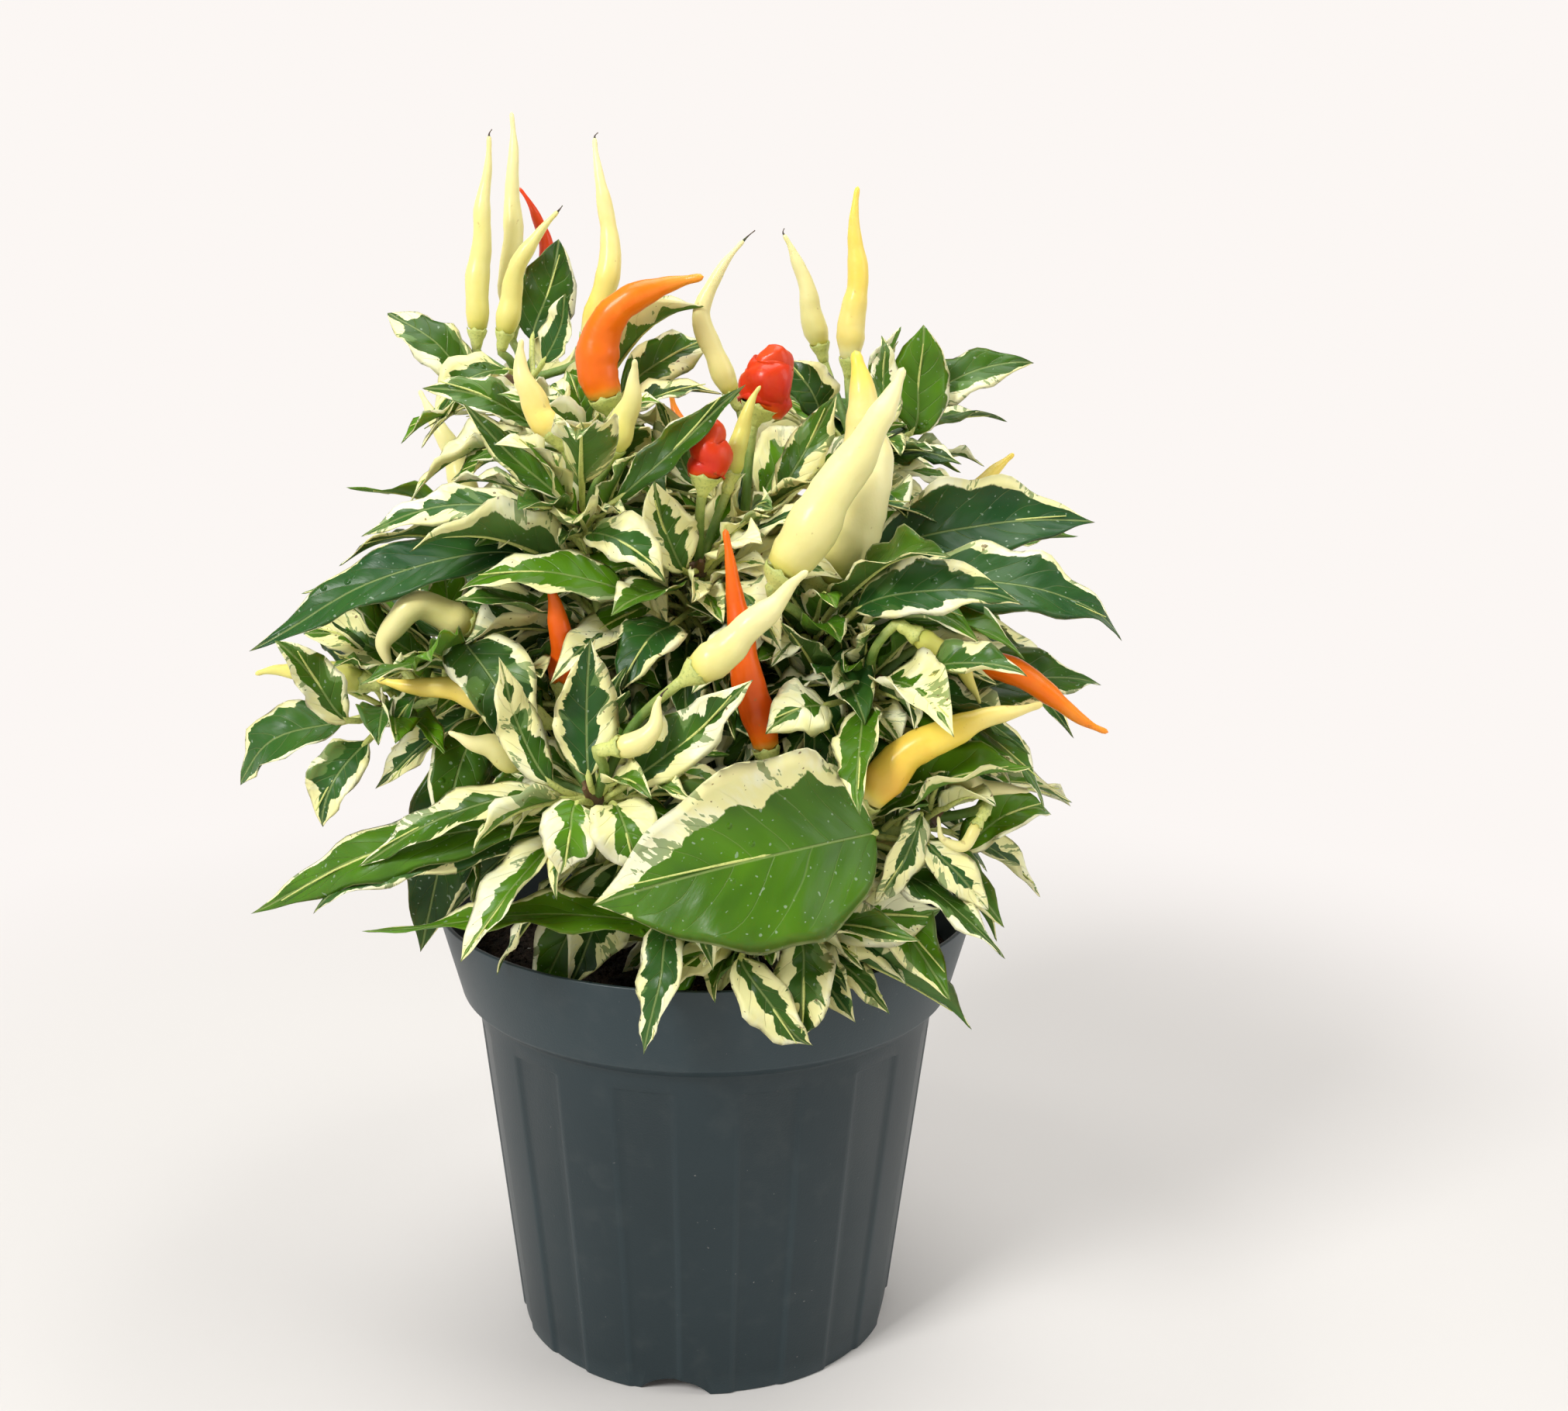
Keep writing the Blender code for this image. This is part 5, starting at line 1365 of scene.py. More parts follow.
@dataclass(frozen=True)
class FloorSkin(Skin):
  """Pale paper, darker around the pot in a painted shadow, that fades to white far from the pot.
  """

  white: Colour = (0.972, 0.93, 0.905)
  paper: Colour = (0.8, 0.775, 0.745)
  # Painted shadow: the paper at 0.83 of its brightness.
  painted_shadow_paper: Colour = (0.664, 0.64325, 0.61835)
  none: Colour = (0.0, 0.0, 0.0)

  def look(self, sheet: Sheet) -> dict[str, object]:
    """Paints the floor by how far it is from the pot, with a painted shadow around the pot.

    Args:
      sheet: The material's sheet.

    Returns:
      What each socket of the shader takes.
    """
    far = sheet.node("ShaderNodeVectorMath", {0: sheet.place()}, operation="LENGTH")
    distance = Wire(sheet, far.outputs["Value"])
    fade = sheet.step(distance, 0.19, 0.42)
    # Painted shadow: the paper darkens from 0.055 m to 0.13 m out from the pot's axis, until it
    # fades to white.
    near = sheet.mix(sheet.step(distance, 0.055, 0.13), self.paper, self.painted_shadow_paper)
    return {
      "Base Color": sheet.mix(fade, near, self.none), "Roughness": 0.8,
      "Emission Color": sheet.mix(fade, self.none, self.white), "Emission Strength": 1.0,
      "Specular IOR Level": 0.0,
    }


# ---- Geometry trees ----


def new_piece(name: str, data: ID) -> Object:
  """Makes an object.

  Args:
    name: The object's name.
    data: Its mesh, lamp or camera.

  Returns:
    The object.
  """
  data.name = name
  obj = bpy.data.objects.new(name, data)
  bpy.context.scene.collection.objects.link(obj)
  return obj


def plain_mesh(points: Sequence, faces: Sequence, edges: Sequence = ()) -> Mesh:
  """Makes a smooth mesh.

  Args:
    points: Its points, in metres.
    faces: Its faces.
    edges: Its loose edges.

  Returns:
    The mesh.
  """
  mesh = bpy.data.meshes.new("plain")
  mesh.from_pydata(points, edges, faces)
  mesh.shade_smooth()
  return mesh


def reshaped(mesh: Mesh, kind: str, settings: dict, inputs: dict) -> Mesh:
  """Runs a modifier on a mesh.

  Args:
    mesh: The mesh.
    kind: The modifier's type.
    settings: Its settings.
    inputs: The value of each input of its tree, by identifier.

  Returns:
    The plain mesh that comes out.
  """
  source = new_piece("source", mesh)
  modifier = source.modifiers.new("rule", kind)
  for key, value in settings.items():
    setattr(modifier, key, value)
  for key, value in inputs.items():
    modifier[key] = value
  graph = bpy.context.evaluated_depsgraph_get()
  baked = bpy.data.meshes.new_from_object(source.evaluated_get(graph))
  source.modifiers.remove(modifier)
  bpy.data.objects.remove(source, do_unlink=True)
  return baked


def hand_in(name: str, mesh: Mesh, slot: Finish, *nodes: str) -> None:
  """Makes a piece, attaches it to the body and hides the solids that it stands for.

  Args:
    name: The piece's name.
    mesh: Its mesh.
    slot: Its material slot; not used.
    nodes: The solids.
  """
  piece = new_piece(name, mesh)
  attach(piece, BODY)
  if nodes:
    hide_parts(*nodes)
  log.info("%s: %d faces", name, len(mesh.polygons))


def store(mesh: Mesh, **rows: Sequence) -> Mesh:
  """Stores numbers, or vectors, on a mesh's points.

  Args:
    mesh: The mesh.
    rows: The values of each attribute.

  Returns:
    The mesh.
  """
  for name, values in rows.items():
    table = np.asarray(values, dtype=np.float32)
    kind, key = ("FLOAT", "value") if table.ndim == 1 else ("FLOAT_VECTOR", "vector")
    mesh.attributes.new(name, kind, "POINT").data.foreach_set(key, table.reshape(-1))
  return mesh


class GeometryTree:
  """A Geometry Nodes tree with named inputs, which bakes what it makes into a plain mesh."""

  def __init__(self, name: str, inputs: dict[str, str]) -> None:
    """Starts a tree.

    Args:
      name: The tree's name.
      inputs: The kind of each named input.
    """
    self.tree = bpy.data.node_groups.new(name, "GeometryNodeTree")
    self.sheet = Sheet(self.tree)
    self.sockets = {}
    for key, kind in {"Geometry": "Geometry", **inputs, "Finish": "Material"}.items():
      made = self.tree.interface.new_socket(key, in_out="INPUT", socket_type="NodeSocket" + kind)
      self.sockets[key] = made.identifier
    self.tree.interface.new_socket("Geometry", in_out="OUTPUT", socket_type="NodeSocketGeometry")
    self.source = self.tree.nodes.new("NodeGroupInput")

  def given(self, key: str) -> Wire:
    """Reads a named input."""
    return Wire(self.sheet, self.source.outputs[key])

  def attribute(self, name: str) -> Wire:
    """Reads a number stored on the points."""
    made = self.sheet.node("GeometryNodeInputNamedAttribute", {"Name": name}, data_type="FLOAT")
    return Wire(self.sheet, made.outputs["Attribute"])

  def close(self, geometry: Node, smooth: bool = True) -> "GeometryTree":
    """Ends the tree with the realised, shaded geometry in its finish.

    Args:
      geometry: The node that gives the geometry.
      smooth: Whether it is shaded smooth.

    Returns:
      The tree.
    """
    ends = {
      "RealizeInstances": {},
      "SetShadeSmooth": {"Shade Smooth": smooth},
      "SetMaterial": {"Material": self.given("Finish")},
    }
    for kind, inputs in ends.items():
      inputs["Geometry"] = geometry.outputs[0]
      geometry = self.sheet.node("GeometryNode" + kind, inputs)
    self.sheet.give(self.tree.nodes.new("NodeGroupOutput").inputs[0], geometry.outputs[0])
    return self

  def bake(self, mesh: Mesh, values: dict) -> Mesh:
    """Runs the tree on a mesh, with a value for each named input."""
    inputs = {self.sockets[key]: value for key, value in values.items()}
    return reshaped(mesh, "NODES", {"node_group": self.tree}, inputs)


def sweep_tree() -> GeometryTree:
  """Makes the tree that sweeps a round section along lines, as thick as their girth says.

  Returns:
    The tree.
  """
  made = GeometryTree("swept_stems", {"Sides": "Int", "Bumps": "Float", "Bump Scale": "Float"})
  sheet = made.sheet
  girth = made.attribute("girth")
  line = sheet.node("GeometryNodeMeshToCurve", {"Mesh": made.given("Geometry")})
  section = {"Resolution": made.given("Sides"), "Radius": 1.0}
  ring = sheet.node("GeometryNodeCurvePrimitiveCircle", section)
  swept = sheet.node("GeometryNodeCurveToMesh", {
    "Curve": line.outputs[0], "Profile Curve": ring.outputs[0], "Scale": girth, "Fill Caps": True,
  })
  noise = sheet.wire("ShaderNodeTexNoise", {"Scale": made.given("Bump Scale"), "Detail": 1.5})
  far = (noise - 0.5) * 2.0 * (made.given("Bumps") * girth)
  normal = sheet.node("GeometryNodeInputNormal").outputs[0]
  offset = sheet.node("ShaderNodeVectorMath", {0: normal, "Scale": far}, operation="SCALE")
  moved = {"Geometry": swept.outputs[0], "Offset": offset.outputs[0]}
  return made.close(sheet.node("GeometryNodeSetPosition", moved))


def scatter_tree() -> GeometryTree:
  """Makes the tree that scatters grains over the upward faces of a surface.

  Returns:
    The tree.
  """
  kinds = {"Density": "Float", "Least": "Vector", "Most": "Vector", "Seed": "Int"}
  made = GeometryTree("scattered_grains", kinds)
  sheet, seed = made.sheet, made.given("Seed")
  upward = sheet.split(sheet.node("GeometryNodeInputNormal").outputs[0])[2] > 0.6
  points = sheet.node("GeometryNodeDistributePointsOnFaces", {
    "Mesh": made.given("Geometry"), "Selection": upward, "Density": made.given("Density"),
    "Seed": seed,
  })
  grain = sheet.node("GeometryNodeMeshIcoSphere", {"Radius": 1.0, "Subdivisions": 1})
  sizes, turns = (
    sheet.node(
      "FunctionNodeRandomValue", {0: least, 1: most, "Seed": number}, data_type="FLOAT_VECTOR",
    )
    for least, most, number in (
      (made.given("Least"), made.given("Most"), seed), ((0.0, 0.0, 0.0), (6.283, 6.283, 6.283), 5),
    )
  )
  placed = sheet.node("GeometryNodeInstanceOnPoints", {
    "Points": points.outputs["Points"], "Instance": grain.outputs[0],
    "Rotation": turns.outputs[0], "Scale": sizes.outputs[0],
  })
  return made.close(placed, smooth=False)


def panel_tree() -> GeometryTree:
  """Makes the tree that sinks every second upright panel of a round wall.

  Returns:
    The tree.
  """
  names = ("Panels", "Depth", "Edge", "Top", "Fade")
  made = GeometryTree("pressed_panels", {name: "Float" for name in names})
  panels, depth, soft, top, fade = (made.given(name) for name in names)
  sheet = made.sheet
  x, y, z = sheet.split(sheet.node("GeometryNodeInputPosition").outputs[0])
  turn = sheet.math("ARCTAN2", y, x) / FULL_TURN * panels
  number = sheet.math("ROUND", turn)
  inside = sheet.step(0.5 - abs(turn - number), soft * 0.5, soft * 1.5)
  below = 1.0 - sheet.step(z - top, 0.0, fade)
  sunk = abs(sheet.math("MODULO", number, 2.0)) * inside * below * made.attribute("outer") * depth
  share = 1.0 - sunk / sheet.math("MAXIMUM", sheet.math("SQRT", x * x + y * y), 0.001)
  place = sheet.wire("ShaderNodeCombineXYZ", {0: x * share, 1: y * share, 2: z})
  moved = {"Geometry": made.given("Geometry"), "Position": place}
  return made.close(sheet.node("GeometryNodeSetPosition", moved))


# ---- Turned bodies and strands ----


def round_body(
  first: Point, rings: Sequence[Places], last: Point, upwards: bool = False
) -> Mesh:
  """Makes a closed mesh of rings of points between two end points.

  Args:
    first: The point that closes the first ring, in millimetres.
    rings: The rings, with equally many points in each.
    last: The point that closes the last ring.
    upwards: Whether the outside's rings run up, so that its faces turn the other way.

  Returns:
    The mesh, in metres.
  """
  count = len(rings[0])
  points = [first, *(point for ring in rings for point in ring), last]
  end = len(points) - 1 - count
  faces = []
  for step in range(count):
    after = (step + 1) % count
    faces.append((0, 1 + step, 1 + after))
    for near in range(1, end, count):
      far = near + count
      faces.append((near + step, far + step, far + after, near + after))
    faces.append((end + step, end + count, end + after))
  if upwards:
    faces = [(face[0], *face[:0:-1]) for face in faces]
  return plain_mesh([Vector(point) * MM for point in points], faces)


@dataclass
class Strand:
  """A line to be swept: its points, its girth and a number for its look at each point."""

  points: Places
  girth: Sequence[float]
  look: Sequence[float]
  closed: bool = False


@dataclass
class Sweeper:
  """Sweeps strands into one piece in its finish."""

  tree: GeometryTree
  finish: Material
  look: str
  sides: int
  bumps: float
  scale: float

  def sweep(self, strands: Sequence[Strand]) -> Mesh:
    """Sweeps strands.

    Args:
      strands: The strands, in millimetres.

    Returns:
      The mesh, in metres.
    """
    points, edges = [], []
    for strand in strands:
      first, count = len(points), len(strand.points)
      points += [Vector(point) * MM for point in strand.points]
      edges += [(first + step, first + step + 1) for step in range(count - 1)]
      if strand.closed:
        edges.append((first + count - 1, first))
    mesh = plain_mesh(points, (), edges)
    girths = [value * MM for strand in strands for value in strand.girth]
    looks = [value for strand in strands for value in strand.look]
    values = {
      "Sides": self.sides, "Bumps": self.bumps, "Bump Scale": self.scale, "Finish": self.finish,
    }
    return self.tree.bake(store(mesh, girth=girths, **{self.look: looks}), values)


# ---- The pot ----


@dataclass
class NurseryPot:
  """The moulded pot: a banded rim, an upright panelled wall, arches in its foot and a floor."""

  height: float = 96.0
  rim_radius: float = 58.0
  band_height: float = 18.5
  band_foot: float = 53.0
  step_height: float = 2.4
  body_top: float = 49.8
  base_radius: float = 41.2
  wall: float = 1.05
  panels: int = 24
  panel_depth: float = 0.45
  panel_drop: float = 4.5
  panel_fade: float = 0.6
  plate: float = 1.2
  plate_lift: float = 3.5
  pad_radius: float = 22.0
  notches: int = 4
  notch_first: float = -99.0
  notch_width: float = 15.0
  notch_rise: float = 3.5
  drains: int = 6
  drain_radius: float = 4.0
  drain_circle: float = 32.0
  rounding: float = 0.55
  columns: tuple[float, ...] = (-7.1, -6.3, -4.6, -2.3, 0.0, 2.3, 4.6, 6.3, 7.1)

  @property
  def band(self) -> float:
    """The height of the rim band's lower edge."""
    return self.height - self.band_height

  @property
  def body(self) -> float:
    """The height of the top of the panelled wall."""
    return self.band - self.step_height

  def wall_radius(self, height: float) -> float:
    """The outer radius of the body at a height below the band."""
    return self.base_radius + (self.body_top - self.base_radius) * height / self.body

  def profile(self) -> list[tuple[float, float, float]]:
    """Draws the section.

    Returns:
      Radius, height and how far a corner is rounded, from the inside of the floor, up
      the inside and down the outside, to the middle of the underside.
    """
    floor = self.plate_lift + self.plate
    top = self.body - self.panel_drop
    soft, foot = self.rounding, self.wall_radius(0)
    fade = self.panel_fade
    return [
      (0, self.plate, 0),
      (self.pad_radius - 1, self.plate, soft),
      (self.pad_radius + 2, floor, soft),
      (self.wall_radius(floor) - self.wall - self.panel_depth, floor, 1.2),
      (self.wall_radius(self.body) - self.wall - self.panel_depth / 2, self.body - 0.8, 0.8),
      (self.band_foot - self.wall, self.band - 0.4, 0.8),
      (self.rim_radius - self.wall, self.height, 0.35),
      (self.rim_radius, self.height, 0.42),
      (self.band_foot, self.band, 0.45),
      (self.body_top, self.body, 0.6),
      *((self.wall_radius(z), z, 0) for z in (top + fade, top + fade / 2, top, top / 2, 5.0)),
      (foot, 0, 0.45),
      (foot - self.wall - 1.1, 0, 0.3),
      (foot - self.wall - 1.3, self.plate_lift, 0.4),
      (self.pad_radius + 3, self.plate_lift, soft),
      (self.pad_radius, 0, 0.4),
      (0, 0, 0),
    ]

  def rounded(self) -> list[tuple[float, float]]:
    """Rounds the section's corners.

    Returns:
      Radius and height of each point.
    """
    corners = self.profile()
    drawn = []
    for order, (radius, height, soft) in enumerate(corners):
      if not soft:
        drawn.append((radius, height))
        continue
      here = Vector((radius, height))
      ways = (Vector(corners[order + side][:2]) - here for side in (-1, 1))
      start, end = (here + way.normalized() * min(soft, way.length * 0.45) for way in ways)
      for t in evenly(4):
        drawn.append(tuple(start * (1 - t) ** 2 + here * 2 * t * (1 - t) + end * t * t))
    return drawn

  def turned(self) -> Mesh:
    """Turns the section about the pot's axis.

    Returns:
      A closed mesh, marked where its outside takes panels, and where it is paler: at its edges,
      and in painted highlight lines along the panel seams.
    """
    (_, first), *profile, (_, last) = self.rounded()
    panel = 360 / self.panels
    turns = [radians(n * panel + turn) for n in range(self.panels) for turn in self.columns]
    rings = [
      [(radius * cos(turn), radius * sin(turn), height) for turn in turns]
      for radius, height in profile
    ]
    mesh = round_body((0, 0, first), rings, (0, 0, last))
    outer, worn = [], []
    for x, y, height in mesh_shape(mesh)[0]:
      radius = hypot(x, y)
      wall = self.wall_radius(height) - self.wall * 0.7
      outer.append(float(radius > wall and height < self.body))
      # The outside is paler within 1.6 mm of the rim, the band's lower edge and the foot's edge.
      near = min(abs(height - self.height), abs(height - self.band), abs(height))
      aside = abs((degrees(atan2(y, x)) + panel / 2) % panel - panel / 2)
      # Painted highlight: pale lines along both sides of each panel seam on the body.
      seam = 0.45 if aside > 7 and 1 < height < self.body - self.panel_drop - 0.1 else 0.0
      worn.append(max(seam, 1.0 - near / 1.6) if radius > wall else 0.0)
    return store(mesh, outer=outer, worn=worn)

  def cutters(self) -> Mesh:
    """Makes the round cutters of the arches in the foot and of the drain holes.

    Returns:
      One mesh with all of them.
    """
    arch = (self.notch_width**2 / 4 + self.notch_rise**2) / (2 * self.notch_rise)
    shift = Matrix.Translation(Vector((self.base_radius, 0, self.notch_rise - arch)) * MM)
    level = Matrix.Rotation(FULL_TURN / 4, 4, "Y")
    rounds = []
    for order in range(self.notches):
      turn = Matrix.Rotation(radians(self.notch_first + 90 * order), 4, "Z")
      rounds.append((arch, 9.0, turn @ shift @ level))
    for order in range(self.drains):
      place = heading(FULL_TURN / self.drains * (order + 0.5), 0.0) * self.drain_circle + UP * 3.5
      rounds.append((self.drain_radius, 6.0, Matrix.Translation(place * MM)))
    shape = bmesh.new()
    for radius, depth, place in rounds:
      bmesh.ops.create_cone(
        shape, cap_ends=True, segments=56, radius1=radius * MM, radius2=radius * MM,
        depth=depth * MM, matrix=place,
      )
    mesh = bpy.data.meshes.new("cutters")
    shape.to_mesh(mesh)
    shape.free()
    return mesh

  def build(self) -> None:
    """Makes the pot in its finish."""
    mesh = panel_tree().bake(self.turned(), {
      "Panels": float(self.panels), "Depth": self.panel_depth * MM, "Edge": 0.03,
      "Top": (self.body - self.panel_drop) * MM, "Fade": self.panel_fade * MM,
      "Finish": PotPlastic(Finish.POT.value).build(),
    })
    tools = new_piece("cutters", self.cutters())
    settings = {"operation": "DIFFERENCE", "solver": "EXACT", "object": tools}
    mesh = reshaped(mesh, "BOOLEAN", settings, {})
    bpy.data.objects.remove(tools, do_unlink=True)
    mesh.shade_smooth()
    mesh.set_sharp_from_angle(angle=radians(38))
    hand_in("pot_shell", mesh, Finish.POT, "pot")


# ---- The soil ----


@dataclass
class SoilBed:
  """The potting soil that fills the pot, and the grains on top of it."""

  level: float = SOIL_LEVEL
  edge_radius: float = 53.4
  mound: float = 1.4
  steps: int = 132
  rings: int = 34
  crumb_density: float = 420000.0
  pot: NurseryPot = field(default_factory=NurseryPot)

  def height(self, radius: float, turn: float) -> float:
    """The height of the soil's surface.

    Args:
      radius: How far from the axis.
      turn: The angle about it.

    Returns:
      The height.
    """
    x, y = radius * cos(turn), radius * sin(turn)
    waves = sin(3 * turn + radius) + sin(7 * turn - 0.3 * radius)
    lumps = sin(x * 0.9 + 1.7 * sin(y * 0.6)) * sin(y * 1.1 + 1.3 * sin(x * 0.5))
    rise = self.mound * exp(-((radius / 26) ** 2))
    return self.level + rise + 0.22 * waves + 0.5 * lumps - 0.4 * (radius / self.edge_radius) ** 4

  def build(self) -> None:
    """Makes the soil's body and scatters its grains."""
    pot = self.pot
    floor = pot.plate_lift + pot.plate
    low = (
      (pot.band_foot - pot.wall - 0.4, pot.band),
      (pot.wall_radius(pot.body) - pot.wall - pot.panel_depth / 2 - 0.4, pot.body - 0.4),
      (pot.wall_radius(floor) - pot.wall - pot.panel_depth - 0.4, floor + 0.4),
      (pot.pad_radius + 2, floor + 0.4),
      (pot.pad_radius - 1.4, pot.plate + 0.4),
    )
    top = ((self.edge_radius * ring / self.rings, None) for ring in range(1, self.rings + 1))
    turns = [FULL_TURN * step / self.steps for step in range(self.steps)]
    rings = [
      [
        (radius * cos(turn), radius * sin(turn), z or self.height(radius, turn))
        for turn in turns
      ]
      for radius, z in (*top, *low)
    ]
    first = (0, 0, self.height(0, 0))
    mesh = round_body(first, rings, (0, 0, pot.plate + 0.4))
    earth = GrainSkin(Finish.SOIL.value).build()
    mesh.materials.append(earth)
    surface = mesh.copy()
    hand_in("soil_bed", mesh, Finish.SOIL, "soil")

    tree = scatter_tree()
    bark = GrainSkin("bark_sliver", (0.055, 0.026, 0.012), (0.170, 0.090, 0.042)).build()
    perlite = GrainSkin("perlite", (0.560, 0.530, 0.470), (0.800, 0.780, 0.730)).build()
    for name, density, least, most, seed, finish in (
      ("soil_crumbs", self.crumb_density, (0.35, 0.35, 0.25), (1.25, 1.1, 0.8), 3, earth),
      ("soil_bark", 14000.0, (0.9, 0.35, 0.2), (3.2, 0.9, 0.5), 8, bark),
      ("soil_perlite", 4500.0, (0.4, 0.4, 0.35), (1.2, 1.1, 0.9), 12, perlite),
    ):
      grains = tree.bake(surface.copy(), {
        "Density": density, "Least": [v * MM for v in least], "Most": [v * MM for v in most],
        "Seed": seed, "Finish": finish,
      })
      hand_in(name, grains, Finish.SOIL)


# ---- The trunk ----


@dataclass
class Trunk:
  """The trunk, its limbs and the stubs that carry the shoots."""

  bark: Sweeper
  points: int = 14
  stub_girths: tuple[float, ...] = (2.15, 2.05, 1.9, 1.85, 1.9)
  stub_ages: tuple[float, ...] = (0.6, 0.55, 0.5, 0.5, 0.5)

  def build(self) -> None:
    """Sweeps the trunk, its limbs and its stubs."""
    count, shares = self.points, evenly(self.points)
    line = smooth_path(((0, 0, TRUNK_FOOT), (0, 0, SOIL_LEVEL), FORK), count)
    flare = [1.0 - 0.2 * share + 0.16 * exp(-((share - 0.5) / 0.09) ** 2) for share in shares]
    made = [Strand(line, [TRUNK_RADIUS * girth for girth in flare], [0.78] * count)]
    for name, knuckle in KNUCKLES.items():
      start = Vector(LIMB_STARTS.get(name, FORK))
      end = Vector(knuckle)
      bulge = (start + end) / 2 + Vector((end.x - start.x, end.y - start.y, 0)) * LIMB_BULGE
      girth = [LIMB_RADIUS * (1.12 - 0.2 * share + 0.1 * sin(share * 11)) for share in shares]
      looks = [0.68 - 0.2 * share for share in shares]
      made.append(Strand(smooth_path((start, bulge, end), count), girth, looks))
    for twig in (twig for spray in SPRAYS for twig in spray.twigs if isinstance(twig[0], str)):
      start, end = Vector(KNUCKLES[twig[0]]), twig_points(twig)[0]
      end += (end - start).normalized() * GAP
      line = smooth_path((start, end), len(self.stub_girths))
      made.append(Strand(line, self.stub_girths, self.stub_ages))
    hand_in("trunk_bark", self.bark.sweep(made), Finish.STEM, "trunk")


# ---- The shoots ----


class Blades:
  """Gathers the fine blades of one shoot's leaves into one mesh."""

  def __init__(self, pods: Sequence[tuple]) -> None:
    """Starts empty.

    Args:
      pods: The centre, reach and tree of each pod, which no blade may touch.
    """
    self.pods = pods
    self.faces: list[tuple[int, ...]] = []
    self.rows = {"points": [], "vein": [], "look": [], "trim": [], "tipward": []}
    self.size = 0

  def add(self, leaf: Leaf, draw: random.Random, limp: float) -> Strand:
    """Adds a leaf.

    Args:
      leaf: The leaf.
      draw: Its random numbers.
      limp: How strongly it twists and curls.

    Returns:
      The strand of its petiole and midrib.
    """
    state = draw.getstate()
    rows, columns = leaf.sized((30, 12), (22, 10), (16, 8))
    knots = (leaf.root, leaf.base, leaf.mid, leaf.tip)
    total = line_length(smooth_path(knots, LEAF_LINE_POINTS))
    base_share = (leaf.base - leaf.root).length / total
    length = total * (1 - base_share)
    step = np.linspace(0, 1, rows + 1)
    share = 0.55 * step + 0.45 * (0.5 - 0.5 * np.cos(np.pi * step))
    centre = np.array(path_places(knots, base_share + (1 - base_share) * share * 0.9999))
    along = np.gradient(centre, axis=0)
    along /= np.linalg.norm(along, axis=1)[:, None]
    face = np.array(leaf.face)
    normal = face - along * (along @ face)[:, None]
    normal /= np.linalg.norm(normal, axis=1)[:, None]
    side = np.cross(along, normal)
    twist = radians(draw.uniform(-18, 18) * limp) * (share**1.5)[:, None]
    turned = side * np.cos(twist) + normal * np.sin(twist)
    side, normal = turned, normal * np.cos(twist) - side * np.sin(twist)
    small, mild = length < MEDIUM_LEAF, min(1.0, limp)
    curl = draw.uniform(-0.03, 0.14 if small else 0.06) * length * limp**0.5
    hook = draw.uniform(-0.03, 0.09) * length * np.maximum(0.0, share * 4 - 3) ** 2 * mild
    sway = draw.uniform(-0.07, 0.07) * length * mild
    bow = share**3 * curl + hook
    centre = centre - normal * bow[:, None] + side * (share**2 * sway)[:, None]

    fall = draw.uniform(0.9, 1.15) if small else OUTLINE_FALL * 0.87
    outline = np.array([blade_half_width(min(max(float(s), 0.0), 1.0), fall) for s in share])
    phase = [draw.uniform(0, 1) for _ in range(4)]
    ripple = 1 + 0.035 * np.sin(FULL_TURN * (share * 4.1 + phase[0]))
    half = np.maximum(leaf.width * outline * ripple, PETIOLE_RADIUS * 0.75 * (1 - share) ** 3)
    across = np.linspace(-1, 1, columns + 1)
    edge = np.abs(across)
    beat = share[:, None] * (2.2 + length / 34)
    waves = np.sin(FULL_TURN * (beat + np.where(across > 0, phase[1], phase[2])))
    belly = np.sin(np.pi * share)[:, None]
    roll = np.where(across > 0, draw.uniform(-0.4, 0.5), draw.uniform(-0.4, 0.5)) * limp**0.5
    frill = leaf.wave * 1.15 * limp**0.4
    rise = half[:, None] * leaf.fold * edge**1.35 + frill * waves * belly * edge**2
    rise = rise + half[:, None] * roll * edge**4 * belly
    thick = 0.05 + 0.16 * (1 - edge**2)
    flat = centre[:, None] + side[:, None] * (half[:, None] * across)[..., None]
    top, low = (flat + normal[:, None] * (rise + off)[..., None] for off in (thick, -thick))
    if limp > 0.2 and self.touches(leaf, top):
      draw.setstate(state)
      return self.add(leaf, draw, limp * 0.4)
    for margin in (0, -1):
      top[:, margin] = low[:, margin] = (top[:, margin] + low[:, margin]) / 2

    spread = np.concatenate([across, across[1:-1]])
    seed, tipward = draw.uniform(0, 1), leaf.tipward or draw.uniform(-0.25, 0.25)
    lean = draw.uniform(-1, 1)
    under = np.arange(2 * columns) > columns
    upper = np.concatenate([top, low[:, 1:-1]], axis=1)[:rows]
    vein = np.stack(np.broadcast_arrays(share[:, None], spread, half[:, None] * spread), 2)[:rows]
    count = rows * 2 * columns + 1
    trim = np.tile((0.5, leaf.lean or lean, length), (count, 1))
    trim[:-1, 0] = np.tile(under, rows)
    for key, values in (
      ("points", np.append(upper.reshape(-1, 3), centre[-1:], axis=0)),
      ("vein", np.append(vein.reshape(-1, 3), [[1.0, 0.0, 0.0]], axis=0)),
      ("look", np.tile((leaf.cream, leaf.tone, seed), (count, 1))),
      ("trim", trim),
      ("tipward", np.full(count, tipward)),
    ):
      self.rows[key].append(values)
    self.weave(rows, columns)
    self.size += count
    return self.rib(knots, base_share, normal)

